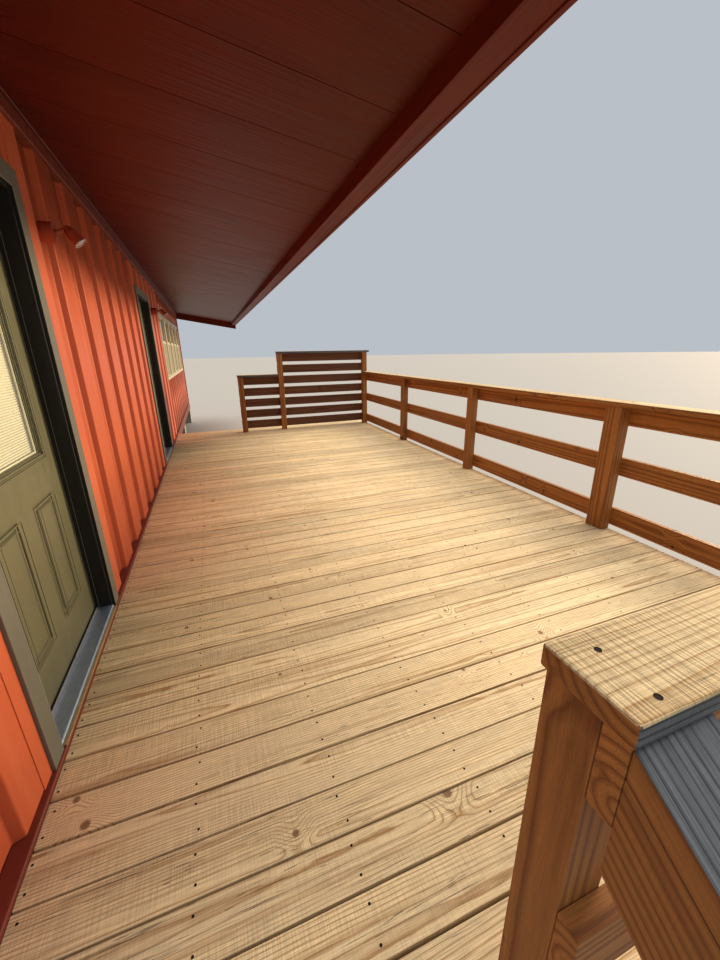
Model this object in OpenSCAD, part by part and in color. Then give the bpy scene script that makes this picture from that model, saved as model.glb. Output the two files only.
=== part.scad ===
// Container cabin: a long steel container on block piers, with two half-glazed doors,
// a bank of hung windows, a low gable roof with a deep porch eave, and a timber porch deck.
// +X points out of the front wall across the deck, +Y along the container, +Z up.
// The origin is at the bottom centre of the whole building, on the ground. Millimetres.

/* [Container] */
// Outside length of the container
container_len = 12192; // [12100:1:13000]
// Outside width of the container
container_wid = 2438; // [2400:1:2700]
// Outside height of the container, corner block to corner block
container_hgt = 2591; // [2560:1:2640]
// Thickness of a finished wall, from the ribbed steel outside to the lining inside
wall_t = 125; // [115:1:140]
// How far the base rail stands out past the ribbed steel
rail_out = 22; // [12:1:26]
// Height of the base rails
base_rail_hgt = 158; // [140:1:166]
// Thickness of the base rails
base_rail_t = 60; // [40:1:80]
// Lift of the base rails above the underside of the corner blocks
rail_lift = 12; // [8:1:16]
// Side of the square top rails
top_rail = 60; // [50:1:66]
// Length of a corner block along the container
casting_len = 178; // [160:1:190]
// Width of a corner block across the container
casting_wid = 162; // [150:1:175]
// Height of a corner block
casting_hgt = 118; // [100:1:130]
// How far a corner post stands in from its corner block's faces
post_in = 5; // [2:1:12]
// Thickness of the floor boards
floor_t = 28; // [20:1:36]
// Drop from the top of the base rails to the floor
floor_drop = 10; // [4:1:16]
// Depth of the floor bearers
bearer_hgt = 110; // [90:1:112]
// Width of a floor bearer
bearer_wid = 45; // [30:1:60]
// Number of floor bearers
bearer_count = 23; // [12:1:30]
// Thickness of the container's roof panel
roof_panel_t = 30; // [20:1:36]
// Thickness of the ceiling board
ceiling_t = 12; // [9:1:20]

/* [Ribbed steel] */
// Distance from one rib to the next
rib_pitch = 438; // [425:1:445]
// Width of a rib's outer flat
rib_flat = 225; // [180:1:240]
// Width of a rib's sloping side
rib_slope = 15; // [8:1:25]
// Depth of the ribs
rib_depth = 34; // [20:1:45]
// Edge of a rib on the near panel, from the container's near end
near_rib_start = 500; // [480:1:520]
// Edge of the first whole rib past door 1
middle_rib_start = 2182; // [2160:1:2200]

/* [Blocks under the container] */
// Height of a block pier
pier_hgt = 380; // [360:1:400]
// Length of a block pier along the container
pier_len = 400; // [380:1:420]
// Width of a block pier across the container
pier_wid = 200; // [180:1:220]
// Number of piers along each side
pier_count = 5; // [4:1:6]

/* [Doors] */
// Clear width between a door's stops
door_open_wid = 905; // [860:1:940]
// Height from the doorsill to the head stop
door_open_hgt = 2026; // [1990:1:2035]
// Middle of door 1 from the container's near end
door_1_mid = 1251; // [1244:1:1262]
// Middle of door 2 from the container's near end
door_2_mid = 5475; // [5460:1:5490]
// Width of a door's frame, from the stops to its outer edge
trim_wid = 95; // [90:1:104]
// How far the trim stands out past the ribbed steel
trim_out = 15; // [10:1:20]
// Step between the stops and the trim's inner edge
trim_step = 14; // [10:1:18]
// Width of the stop strips
stop_wid = 10; // [8:1:14]
// Gap round a door leaf
leaf_gap = 6.5; // [6:0.5:8]
// Thickness of a door leaf
leaf_t = 44; // [38:1:50]
// Height of a doorsill
sill_hgt = 16; // [16:1:26]
// How far a doorsill stands out past the ribbed steel
sill_out = 8; // [6:1:14]
// Width of the glass opening in a door
lite_wid = 560; // [500:1:580]
// Height of the glass opening in a door
lite_hgt = 915; // [850:1:940]
// Height of the glass opening above the foot of the leaf
lite_base = 937; // [925:1:955]
// Width of the moulding round the door glass
lite_mould = 25; // [18:1:32]
// How far that moulding stands out
lite_mould_out = 12; // [8:1:15]
// Width of a door's lower panel
door_panel_wid = 203; // [180:1:230]
// Height of a door's lower panel
door_panel_hgt = 539; // [520:1:560]
// Height of a lower panel above the foot of the leaf
door_panel_base = 206; // [195:1:225]
// Distance between the middles of the two lower panels
door_panel_pitch = 370; // [360:1:384]
// Width of the groove round a lower panel
door_groove_wid = 22; // [14:1:28]
// Depth of that groove
door_groove = 6; // [3:1:8]
// Thickness of the door glass unit
door_glass_t = 20; // [14:1:26]
// Height of the knob above the foot of the leaf
knob_base = 900; // [860:1:920]
// Distance from the latch edge of a leaf to the middle of its knob
knob_in = 66; // [58:1:70]
// Radius of the knob
knob_r = 26; // [22:1:30]
// How far the knob stands out
knob_out = 62; // [50:1:66]
// Height of the bolt cylinder above the knob
bolt_up = 140; // [120:1:160]
// Radius of a hinge knuckle
knuckle_r = 6; // [5:0.5:7]
// Height of a hinge knuckle
knuckle_hgt = 100; // [80:1:110]
// Width of a hinge plate
hinge_plate = 36; // [28:1:40]

/* [Windows] */
// Number of window units side by side
window_count = 5; // [3:1:5]
// Height of a window unit
window_hgt = 1110; // [1050:1:1140]
// Width of the wall between door 2's trim and the windows
window_pier = 1127.5; // [1070:0.5:1170]
// Distance from the windows to the container's far end
window_far = 442; // [400:1:500]
// Height of the window sill above the deck
window_sill = 950; // [920:1:980]
// Height of the meeting rail's middle above the deck
meeting_hgt = 1590; // [1540:1:1620]
// Face width of a window frame
frame_face = 50; // [40:1:60]
// Depth of a window frame
frame_depth = 90; // [84:1:100]
// How far a window frame stands out past the ribbed steel
frame_out = 10; // [4:1:16]
// Face width of a sash
sash_face = 40; // [30:1:50]
// Thickness of a sash
sash_t = 25; // [20:1:28]
// Thickness of the window glass units
pane_t = 16; // [12:1:18]

/* [Flood lights] */
// Distance from a door's trim to its flood light
light_off = 250; // [242:1:258]
// Height of the flood lights above the deck
light_hgt = 1982; // [1950:1:2000]
// Radius of a flood light's round box
light_base_r = 48; // [42:1:54]
// Depth of that box
light_base_t = 82; // [74:1:90]
// Length of the arm between the box and the lamp head
lamp_arm = 60; // [52:1:66]
// Radius of that arm
lamp_arm_r = 8; // [6:1:10]
// Radius of a lamp head
lamp_r = 31; // [27:1:35]
// Length of a lamp head
lamp_len = 81; // [72:1:90]

/* [Roof] */
// Run of roof slope for each unit of fall
roof_run = 6; // [5.5:0.1:7]
// Depth of a rafter, square to its slope
rafter_dep = 140; // [120:1:160]
// Width of a rafter
rafter_wid = 38; // [32:1:45]
// Number of rafter pairs
rafter_count = 12; // [8:1:18]
// Height of the roof plates above the corner blocks
plate_hgt = 34; // [30:1:50]
// Width of those plates
plate_wid = 89; // [80:1:100]
// Porch eave, from the container to the eave box
eave_front = 1438; // [1380:1:1500]
// Width of the porch eave box
eave_box = 120; // [110:1:135]
// Drop of the porch eave box below the soffit
eave_drop = 73; // [60:1:85]
// Back eave, from the container to the back fascia
eave_back = 300; // [250:1:350]
// Thickness of the back fascia
fascia_t = 38; // [30:1:45]
// Drop of the back fascia below the soffit
fascia_drop = 30; // [20:1:40]
// Thickness of the soffit boards
soffit_t = 12; // [9:1:16]
// How far the roof passes the container's ends
gable_out = 150; // [120:1:180]
// Drop of the barge boards below the soffit
barge_drop = 150; // [120:1:170]
// Thickness of the barge boards
barge_t = 38; // [30:1:45]
// Thickness of the gable boards
gable_board_t = 20; // [15:1:25]
// Thickness of the roof sheet's flat
sheet_t = 10; // [6:1:14]
// Height of the roof sheet's ribs
sheet_rib = 24; // [18:1:30]
// Distance between the roof sheet's ribs
sheet_pitch = 305; // [280:1:320]
// Width of a roof rib at its foot
sheet_rib_wid = 60; // [50:1:70]
// How far the sheet passes the eaves
sheet_out = 20; // [10:1:30]
// How far the sheet passes the barge boards
sheet_lip = 10; // [4:1:20]
// Width of the ridge cap on each side
ridge_wid = 180; // [150:1:210]
// Thickness of the ridge cap
ridge_t = 6; // [4:1:8]

/* [Deck] */
// Height of the deck above the ground
deck_hgt = 534; // [528:1:540]
// How far the deck passes the container's near end
deck_out = 400; // [300:1:500]
// Width of the deck, out from the base rail
deck_wid = 3548; // [3400:1:3600]
// Width of a board
board_wid = 140; // [135:1:142]
// Gap between deck boards
board_gap = 3; // [2:0.5:6]
// Thickness of every board
board_t = 38; // [34:1:40]
// Number of deck boards
board_count = 53; // [52:1:56]
// Depth of joists and beams
joist_dep = 184; // [175:1:190]
// Number of joists
joist_count = 9; // [7:1:11]
// Width of a beam
beam_wid = 76; // [70:1:89]
// Number of beams
beam_count = 4; // [3:1:5]
// Number of feet under each beam
foot_count = 3; // [3:1:5]
// Side of a square timber post
timber_post = 89; // [80:1:95]

/* [Railing] */
// Height of the railing's posts above the deck
rail_hgt = 972; // [940:1:1000]
// Foot of the middle rail above the deck
mid_rail_base = 445; // [400:1:480]
// Foot of the bottom rail above the deck
low_rail_base = 35; // [25:1:60]
// Width of the stair opening, from the base rail to the first post
stair_gap = 1063; // [1000:1:1100]
// Near face of the first side post past the corner
side_post_1 = 1830; // [1750:1:1900]
// Length of that wide post along the deck
wide_post = 140; // [120:1:150]
// Near face of the second side post
side_post_2 = 3650; // [3550:1:3750]
// Near face of the third side post
side_post_3 = 5420; // [5300:1:5500]
// Near face of the far posts, which carry the screen
far_post = 7200; // [7150:1:7250]
// Overhang of the cap boards past the posts and rails
cap_lip = 6; // [3:1:10]

/* [Screen at the far end] */
// Distance from the base rail to the low screen
screen_gap = 1118; // [1060:1:1180]
// Distance from the base rail to the tall screen
tall_gap = 1833; // [1780:1:1880]
// Top of the lowest screen board above the deck
screen_first = 192; // [170:1:210]
// Distance from one screen board's top to the next
screen_pitch = 195; // [185:1:200]
// Number of boards in the low screen
screen_low = 5; // [4:1:5]
// Number of boards in the tall screen
screen_tall = 7; // [6:1:7]

/* [Stair] */
// Number of risers
riser_count = 3; // [2:1:4]
// Going of each tread
tread_run = 254; // [240:1:270]
// Clear distance from the base rail's plane to the stair
stair_in = 38; // [30:1:60]
// Top of the stair rail above the deck where it leaves the post
stair_rail_top = 922; // [900:1:924]
// Depth of the stair rail board
stair_rail_dep = 140; // [135:1:150]
// Distance from the deck to the foot post of the stair rail
foot_post_out = 560; // [540:1:600]

/* [Hidden] */
$fn = 48;

// heights above the ground
base_z = pier_hgt;
rail_top_z = base_z + rail_lift + base_rail_hgt;
floor_z = rail_top_z - floor_drop;
top_z = base_z + container_hgt;
rail_drop = 6;
top_rail_z = top_z - rail_drop;
wall_top_z = top_rail_z - top_rail;

// the working frame: x = 0 at the ribbed steel's outer face, y = 0 at the container's near end
front_x = rail_out;
back_x = rail_out - container_wid;
ridge_x = (front_x + back_x) / 2;
inner_front_x = -wall_t;
inner_back_x = back_x + rail_out + wall_t;
wall_y0 = casting_len;
wall_y1 = container_len - wall_y0;

// doors
frame_y0 = -door_open_wid / 2 - trim_wid;
leaf_wid = door_open_wid + 2 * stop_wid - 2 * leaf_gap;
leaf_z0 = rail_top_z + sill_hgt + leaf_gap;
leaf_z1 = rail_top_z + sill_hgt + door_open_hgt + stop_wid - leaf_gap;
leaf_hgt = leaf_z1 - leaf_z0;
leaf_x0 = -wall_t;
leaf_x1 = leaf_x0 + leaf_t;
door_top_z = rail_top_z + sill_hgt + door_open_hgt + trim_wid;
hinge_gap = 0.5;
hinge_x = leaf_x0 - knuckle_r - hinge_gap;
hinge_y = leaf_wid / 2 + leaf_gap / 2;
hinge_play = 0.3;
hinge_plate_t = 3;
hinge_end = 180;
hinge_z = [leaf_z0 + hinge_end, (leaf_z0 + leaf_z1 - knuckle_hgt) / 2, leaf_z1 - hinge_end - knuckle_hgt];

// windows
window_z0 = deck_hgt + window_sill;
window_z1 = window_z0 + window_hgt;
window_start = door_2_mid - frame_y0 + window_pier;
window_end = container_len - window_far;
window_wid = (window_end - window_start) / window_count;
meeting_z = deck_hgt + meeting_hgt;
sash_gap = 5;
upper_sash_x = frame_out - 50;
lower_sash_x = upper_sash_x - sash_gap - sash_t;

// roof
roof_angle = atan(1 / roof_run);
rafter_v = rafter_dep / cos(roof_angle);
plate_z = top_z + plate_hgt;
eave_x = front_x + eave_front;
box_x = eave_x + eave_box;
back_eave_x = back_x - eave_back;
back_fascia_x = back_eave_x - fascia_t;
roof_y0 = -gable_out;
roof_y1 = container_len + gable_out;
// running room between faces that slope, so that they seat without biting
seat = 0.3;
ridge_board_low = 20;
ridge_board_drop = 8;
// underside of the rafters on the porch side, at x
function under_z(x) = plate_z + (front_x - x) / roof_run;
// the same on the back slope
function back_under_z(x) = plate_z + (x - back_x) / roof_run;

ridge_board_z = under_z(ridge_x) - ridge_board_low;

// deck
deck_x0 = front_x;
deck_x1 = front_x + deck_wid;
board_pitch = board_wid + board_gap;
deck_len = board_count * board_pitch - board_gap;
joist_z = deck_hgt - board_t - joist_dep;
beam_z = joist_z - joist_dep;
stair_post_x = deck_x0 + stair_gap;
outer_post_x = deck_x1 - timber_post;
near_post_y = board_t;
screen_y = far_post + timber_post;
low_screen_x = deck_x0 + screen_gap;
tall_screen_x = deck_x0 + tall_gap;

screen_hgt = screen_first + (screen_tall - 1) * screen_pitch;
low_screen_hgt = screen_first + (screen_low - 1) * screen_pitch;

// stair
riser = deck_hgt / riser_count;
rail_fall = riser / tread_run;
stair_x0 = deck_x0 + stair_in;
stair_x1 = stair_post_x;
foot_post_y = -foot_post_out - timber_post;
board_wid_2 = (tread_run + 20 - board_gap) / 2;
// top edge of the stair rail's board, at y in the deck's frame
function stair_rail_z(y) = deck_hgt + stair_rail_top + rail_fall * y;

// the whole building's middle
x_low = back_fascia_x - sheet_out - (sheet_t + sheet_rib) * sin(roof_angle);
x_high = deck_x1 + board_t + cap_lip;
y_low = foot_post_y - cap_lip - deck_out;
y_high = roof_y1 + sheet_lip;
mid_x = (x_low + x_high) / 2;
mid_y = (y_low + y_high) / 2;

steel_red = "#C8502E";
roof_red = "#6E1F17";
olive = "#4A4A3E";
pine = "#D9B27A";
stained = "#9A5A2C";

// shifts the working frame to the building's own origin
module place() {
    translate([-mid_x, -mid_y, 0]) children();
}

// the same for the deck, whose own frame starts at the deck's near edge
module deck_place() {
    place() translate([0, -deck_out, 0]) children();
}

// a box from one corner to the other
module span(a, b) {
    translate(a) cube([b[0] - a[0], b[1] - a[1], b[2] - a[2]]);
}

// an outline in X and Z drawn out along Y
module along_y(y0, y1, outline) {
    translate([0, y1, 0]) rotate([90, 0, 0]) linear_extrude(height = y1 - y0) polygon(outline);
}

// an outline in Y and Z drawn out along X
module along_x(x0, x1, outline) {
    translate([x0, 0, 0]) rotate([90, 0, 90]) linear_extrude(height = x1 - x0) polygon(outline);
}

// the points of one rib that starts at s, kept between lo and hi
function rib(s, lo, hi) = [
    for (p = [[s - rib_slope, -rib_depth], [s, 0], [s + rib_flat, 0], [s + rib_flat + rib_slope, -rib_depth]])
        if (p[0] > lo && p[0] < hi) p
];
// depth of the ribbed face at t, for ribs that start at s
function rib_at(t, s) =
    let (u = (t - s + rib_slope) - rib_pitch * floor((t - s + rib_slope) / rib_pitch))
    u < rib_slope ? -rib_depth * (1 - u / rib_slope)
    : u < rib_slope + rib_flat ? 0
    : u < 2 * rib_slope + rib_flat ? -rib_depth * (u - rib_slope - rib_flat) / rib_slope
    : -rib_depth;
// the plan outline of a ribbed panel from lo to hi, with its flat back at -wall_t
function ribbed(lo, hi, s) = concat(
    [[lo, -wall_t], [lo, rib_at(lo, s)]],
    [for (k = [floor((lo - s) / rib_pitch) - 1 : ceil((hi - s) / rib_pitch)]) each rib(s + k * rib_pitch, lo, hi)],
    [[hi, rib_at(hi, s)], [hi, -wall_t]]
);

// a ribbed panel that faces +X, between two places on the wall
module front_panel(y0, y1, z0, z1, s) {
    color(steel_red) place()
        translate([0, 0, z0]) linear_extrude(height = z1 - z0)
            polygon([for (p = ribbed(y0, y1, s)) [p[1], p[0]]]);
}

module foundation_blocks() {
    color("#A9A7A0") place()
        for (k = [0 : pier_count - 1], x = [back_x, front_x - pier_wid])
            let (y = k * (container_len - pier_len) / (pier_count - 1))
            span([x, y, 0], [x + pier_wid, y + pier_len, pier_hgt + (k % (pier_count - 1) == 0 ? 0 : rail_lift)]);
}

// four rails round the container, t thick, from z0 to z1
module rail_ring(t, z0, z1) {
    for (x = [back_x, front_x - t])
        span([x, casting_len, z0], [x + t, container_len - casting_len, z1]);
    for (y = [0, container_len - t])
        span([back_x + casting_wid, y, z0], [front_x - casting_wid, y + t, z1]);
}

module container_rails() {
    color(steel_red) place() {
        rail_ring(base_rail_t, base_z + rail_lift, rail_top_z);
        rail_ring(top_rail, wall_top_z, top_rail_z);
    }
}

module floor_bearers() {
    z1 = floor_z - floor_t;
    step = (container_len - 2 * casting_len - bearer_wid) / (bearer_count - 1);
    color("#5A3A32") place()
        for (k = [0 : bearer_count - 1])
            let (y = casting_len + k * step)
            span([back_x + base_rail_t, y, z1 - bearer_hgt], [front_x - base_rail_t, y + bearer_wid, z1]);
}

// a slab that stops short of the sides by inset and leaves room for the corner blocks
module cross_slab(inset, z0, z1) {
    span([back_x + inset, casting_len, z0], [front_x - inset, container_len - casting_len, z1]);
    span([back_x + casting_wid, inset, z0], [front_x - casting_wid, container_len - inset, z1]);
}

module floor() {
    color("#B08A5C") place() cross_slab(base_rail_t, floor_z - floor_t, floor_z);
}

module corner_posts() {
    color(steel_red) place()
        for (x = [back_x + post_in, front_x - casting_wid], y = [post_in, container_len - casting_len])
            span([x, y, base_z + casting_hgt],
                 [x + casting_wid - post_in, y + casting_len - post_in, top_z - casting_hgt]);
}

// a slot with round ends, through a block face that looks along +X
module slot(len, wid, dep) {
    for (s = [-1, 1])
        translate([-dep, s * (len - wid) / 2, 0]) rotate([0, 90, 0]) cylinder(d = wid, h = dep + 1);
    translate([-dep, -(len - wid) / 2, -wid / 2]) cube([dep + 1, len - wid, wid]);
}

module corner_block() {
    pocket = 30;
    difference() {
        cube([casting_wid, casting_len, casting_hgt]);
        translate([casting_wid, casting_len / 2, casting_hgt / 2]) slot(79, 51, pocket);
        translate([casting_wid / 2, 0, casting_hgt / 2]) rotate([0, 0, -90]) slot(79, 51, pocket);
    }
}

module corner_blocks() {
    color(steel_red) place()
        for (z = [base_z, top_z - casting_hgt])
            translate([ridge_x, container_len / 2, z])
                for (mx = [0, 1], my = [0, 1])
                    mirror([mx, 0, 0]) mirror([0, my, 0])
                        translate([container_wid / 2 - casting_wid, -container_len / 2, 0]) corner_block();
}

module container_roof() {
    z1 = top_rail_z - rail_drop;
    color(roof_red) place() cross_slab(top_rail, z1 - roof_panel_t, z1);
}

module ceiling() {
    color("#E8E2D4") place() cross_slab(rail_out + wall_t, wall_top_z - ceiling_t, wall_top_z);
}

module front_wall_near() {
    front_panel(wall_y0, door_1_mid + frame_y0, rail_top_z, wall_top_z, near_rib_start);
}

module front_wall_middle() {
    front_panel(door_1_mid - frame_y0, door_2_mid + frame_y0, rail_top_z, wall_top_z, middle_rib_start);
}

module front_wall_pier() {
    front_panel(door_2_mid - frame_y0, window_start, rail_top_z, wall_top_z, middle_rib_start);
}

module front_wall_end() {
    front_panel(window_end, wall_y1, rail_top_z, wall_top_z, middle_rib_start);
}

module front_wall_over_doors() {
    for (mid = [door_1_mid, door_2_mid])
        front_panel(mid + frame_y0, mid - frame_y0, door_top_z, wall_top_z, middle_rib_start);
}

module front_wall_under_windows() {
    front_panel(window_start, window_end, rail_top_z, window_z0, middle_rib_start);
}

module front_wall_over_windows() {
    front_panel(window_start, window_end, window_z1, wall_top_z, middle_rib_start);
}

module back_wall() {
    color(steel_red) place()
        translate([back_x + rail_out, 0, rail_top_z]) mirror([1, 0, 0])
            linear_extrude(height = wall_top_z - rail_top_z)
                polygon([for (p = ribbed(wall_y0, wall_y1, middle_rib_start)) [p[1], p[0]]]);
}

// a ribbed end wall that faces -Y at y = 0
module end_panel() {
    x0 = back_x + casting_wid;
    x1 = front_x - casting_wid;
    translate([0, rail_out, rail_top_z]) mirror([0, 1, 0])
        linear_extrude(height = wall_top_z - rail_top_z)
            polygon(ribbed(x0, x1, ridge_x - rib_flat / 2));
}

module near_end_wall() {
    color(steel_red) place() end_panel();
}

module far_end_wall() {
    color(steel_red) place() translate([0, container_len, 0]) mirror([0, 1, 0]) end_panel();
}

// the timber frame of a door, with its middle at y = 0
module door_frame() {
    half = door_open_wid / 2;
    pocket = half + stop_wid;
    head = rail_top_z + sill_hgt + door_open_hgt;
    color(olive) {
        difference() {
            span([-wall_t, frame_y0, rail_top_z], [trim_out, -frame_y0, door_top_z]);
            span([-wall_t - 1, -half, rail_top_z - 1], [trim_out + 1, half, head]);
            span([0, -half - trim_step, rail_top_z - 1], [trim_out + 1, half + trim_step, head + trim_step]);
            span([-wall_t - 1, -pocket, rail_top_z - 1], [leaf_x1 + leaf_gap, pocket, head + stop_wid]);
        }
        for (z = hinge_z)
            span([hinge_x - hinge_plate_t / 2, hinge_y + knuckle_r + hinge_play, z],
                 [-wall_t, hinge_y + hinge_plate, z + knuckle_hgt]);
    }
}

module door_frames() {
    for (mid = [door_1_mid, door_2_mid]) place() translate([0, mid, 0]) door_frame();
}

// a ribbed aluminium doorsill
module door_sill() {
    half = door_open_wid / 2;
    lip = sill_hgt - 4;
    color("#B9BDC2") along_y(-half, half, [
        [-wall_t, rail_top_z], [sill_out, rail_top_z], [sill_out, rail_top_z + lip],
        [sill_out - 4, rail_top_z + sill_hgt], [-wall_t, rail_top_z + sill_hgt]
    ]);
}

module doorsills() {
    for (mid = [door_1_mid, door_2_mid]) place() translate([0, mid, 0]) door_sill();
}

// the groove round one lower panel, cut into both faces of the leaf
module panel_groove(y) {
    for (x = [leaf_x0 - 1, leaf_x1 - door_groove])
        difference() {
            span([x, y - door_panel_wid / 2, leaf_z0 + door_panel_base],
                 [x + door_groove + 1, y + door_panel_wid / 2, leaf_z0 + door_panel_base + door_panel_hgt]);
            span([x - 1, y - door_panel_wid / 2 + door_groove_wid, leaf_z0 + door_panel_base + door_groove_wid],
                 [x + door_groove + 2, y + door_panel_wid / 2 - door_groove_wid,
                  leaf_z0 + door_panel_base + door_panel_hgt - door_groove_wid]);
        }
}

// a door leaf with its middle at y = 0
module door_leaf() {
    z0 = leaf_z0 + lite_base;
    z1 = z0 + lite_hgt;
    color(olive) difference() {
        union() {
            span([leaf_x0, -leaf_wid / 2, leaf_z0], [leaf_x1, leaf_wid / 2, leaf_z1]);
            span([leaf_x0 - lite_mould_out, -lite_wid / 2 - lite_mould, z0 - lite_mould],
                 [leaf_x1 + lite_mould_out, lite_wid / 2 + lite_mould, z1 + lite_mould]);
        }
        span([leaf_x0 - lite_mould_out - 1, -lite_wid / 2, z0], [leaf_x1 + lite_mould_out + 1, lite_wid / 2, z1]);
        for (s = [-1, 1]) panel_groove(s * door_panel_pitch / 2);
    }
}

module door_glass() {
    z0 = leaf_z0 + lite_base;
    x0 = (leaf_x0 + leaf_x1 - door_glass_t) / 2;
    color("#B8C4C0", 0.5)
        span([x0, -lite_wid / 2, z0], [x0 + door_glass_t, lite_wid / 2, z0 + lite_hgt]);
}

// a knob and a bolt cylinder on each face, near the latch edge
module door_handles() {
    rose = 32;
    rose_t = 9;
    neck = 11;
    y = -leaf_wid / 2 + knob_in;
    color("#8C8577")
        for (side = [0, 1])
            translate([side == 1 ? leaf_x1 : leaf_x0, y, leaf_z0 + knob_base]) mirror([1 - side, 0, 0])
                rotate([0, 90, 0]) {
                    cylinder(r = rose, h = rose_t);
                    cylinder(r = neck, h = knob_out - knob_r);
                    translate([0, 0, knob_out - knob_r]) intersection() {
                        sphere(r = knob_r);
                        translate([-knob_r, -knob_r, -knob_r * 0.6]) cube([2 * knob_r, 2 * knob_r, knob_r * 1.6]);
                    }
                    translate([-bolt_up, 0, 0]) cylinder(r = rose - 4, h = rose_t + 6);
                }
}

// three knuckles on the hinge edge, each with its plate on the leaf
module door_hinges() {
    color("#8C8577")
        for (z = hinge_z)
            translate([0, 0, z]) {
                translate([hinge_x, hinge_y, 0]) cylinder(r = knuckle_r, h = knuckle_hgt);
                span([leaf_x0 - hinge_plate_t, hinge_y - hinge_plate, 0], [leaf_x0, hinge_y, knuckle_hgt]);
            }
}

module door_1_leaf() {
    place() translate([0, door_1_mid, 0]) door_leaf();
}

module door_1_glass() {
    place() translate([0, door_1_mid, 0]) door_glass();
}

module door_1_hardware() {
    place() translate([0, door_1_mid, 0]) {
        door_handles();
        door_hinges();
    }
}

module door_2_leaf() {
    place() translate([0, door_2_mid, 0]) door_leaf();
}

module door_2_glass() {
    place() translate([0, door_2_mid, 0]) door_glass();
}

module door_2_hardware() {
    place() translate([0, door_2_mid, 0]) {
        door_handles();
        door_hinges();
    }
}

module window_frame() {
    color("#D8CDB4") place() difference() {
        span([frame_out - frame_depth, window_start, window_z0], [frame_out, window_end, window_z1]);
        for (k = [0 : window_count - 1])
            let (y = window_start + k * window_wid)
            span([frame_out - frame_depth - 1, y + frame_face, window_z0 + frame_face],
                 [frame_out + 1, y + window_wid - frame_face, window_z1 - frame_face]);
    }
}

// a sash from one corner to the other, sash_face wide all round
module sash(a, b) {
    difference() {
        span(a, b);
        span([a[0] - 1, a[1] + sash_face, a[2] + sash_face], [b[0] + 1, b[1] - sash_face, b[2] - sash_face]);
    }
}

module window_sashes() {
    color("#D8CDB4") place()
        for (k = [0 : window_count - 1])
            let (y0 = window_start + k * window_wid + frame_face, y1 = y0 + window_wid - 2 * frame_face) {
                sash([upper_sash_x, y0, meeting_z - sash_face / 2], [upper_sash_x + sash_t, y1, window_z1 - frame_face]);
                sash([lower_sash_x, y0, window_z0 + frame_face], [lower_sash_x + sash_t, y1, meeting_z + sash_face / 2]);
            }
}

module window_glass() {
    in = (sash_t - pane_t) / 2;
    color("#8FA0A0", 0.5) place()
        for (k = [0 : window_count - 1])
            let (y0 = window_start + k * window_wid + frame_face + sash_face,
                 y1 = y0 + window_wid - 2 * frame_face - 2 * sash_face) {
                span([upper_sash_x + in, y0, meeting_z + sash_face / 2],
                     [upper_sash_x + in + pane_t, y1, window_z1 - frame_face - sash_face]);
                span([lower_sash_x + in, y0, window_z0 + frame_face + sash_face],
                     [lower_sash_x + in + pane_t, y1, meeting_z - sash_face / 2]);
            }
}

// a lamp head on its arm, with the arm raised and the head dipped
module lamp() {
    raised = 23;
    dip = 53;
    knuckle = lamp_arm_r + 4;
    back_len = lamp_len * 0.3;
    rim_len = 9;
    rim_t = 3;
    rotate([0, -raised, 0]) {
        rotate([0, 90, 0]) cylinder(r = lamp_arm_r, h = lamp_arm);
        translate([lamp_arm, 0, 0]) {
            rotate([90, 0, 0]) cylinder(r = knuckle, h = 2 * knuckle, center = true);
            rotate([0, 90 + raised + dip, 0]) {
                cylinder(r1 = lamp_r * 0.6, r2 = lamp_r - rim_t, h = back_len);
                translate([0, 0, back_len]) cylinder(r = lamp_r - rim_t, h = lamp_len - back_len - rim_len);
                translate([0, 0, lamp_len - rim_len]) difference() {
                    cylinder(r = lamp_r, h = rim_len);
                    translate([0, 0, rim_len / 3]) cylinder(r = lamp_r - rim_t, h = rim_len);
                }
            }
        }
    }
}

// each round box stands on the steel behind it, in a trough or on a rib
module flood_lights() {
    color("#B8472C") place()
        for (mid = [door_1_mid, door_2_mid]) {
            y = mid - frame_y0 + light_off;
            seat = max([for (side = [-1, 0, 1]) rib_at(y + side * light_base_r, middle_rib_start)]);
            translate([seat, y, deck_hgt + light_hgt]) {
                rotate([0, 90, 0]) {
                    cylinder(r = light_base_r, h = light_base_t);
                    cylinder(r = 2 * lamp_arm_r, h = light_base_t + lamp_arm_r);
                }
                translate([light_base_t, 0, 0]) lamp();
            }
        }
}

// the porch plate's outline, with a top that follows the rafters
module plate_outline() {
    x0 = front_x - plate_wid;
    polygon([[x0, top_rail_z], [front_x, top_rail_z], [front_x, plate_z - seat], [x0, under_z(x0) - seat]]);
}

module roof_plates() {
    color(pine) place() {
        for (m = [0, 1])
            translate([ridge_x, 0, 0]) mirror([m, 0, 0])
                translate([-ridge_x, container_len - casting_len, 0]) rotate([90, 0, 0])
                    linear_extrude(height = container_len - 2 * casting_len) plate_outline();
        span([ridge_x - rafter_wid / 2, roof_y0 + barge_t, ridge_board_z],
             [ridge_x + rafter_wid / 2, roof_y1 - barge_t, under_z(ridge_x) + rafter_v - ridge_board_drop]);
    }
}

module rafters() {
    x0 = ridge_x + rafter_wid / 2;
    b0 = ridge_x - rafter_wid / 2;
    step = (roof_y1 - roof_y0 - 2 * barge_t - rafter_wid) / (rafter_count - 1);
    color(pine) place()
        for (k = [0 : rafter_count - 1])
            let (y = roof_y0 + barge_t + k * step) {
                along_y(y, y + rafter_wid, [
                    [x0, under_z(x0)], [eave_x, under_z(eave_x)],
                    [eave_x, under_z(eave_x) + rafter_v], [x0, under_z(x0) + rafter_v]
                ]);
                along_y(y, y + rafter_wid, [
                    [back_eave_x, back_under_z(back_eave_x)], [b0, back_under_z(b0)],
                    [b0, back_under_z(b0) + rafter_v], [back_eave_x, back_under_z(back_eave_x) + rafter_v]
                ]);
            }
}

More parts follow.
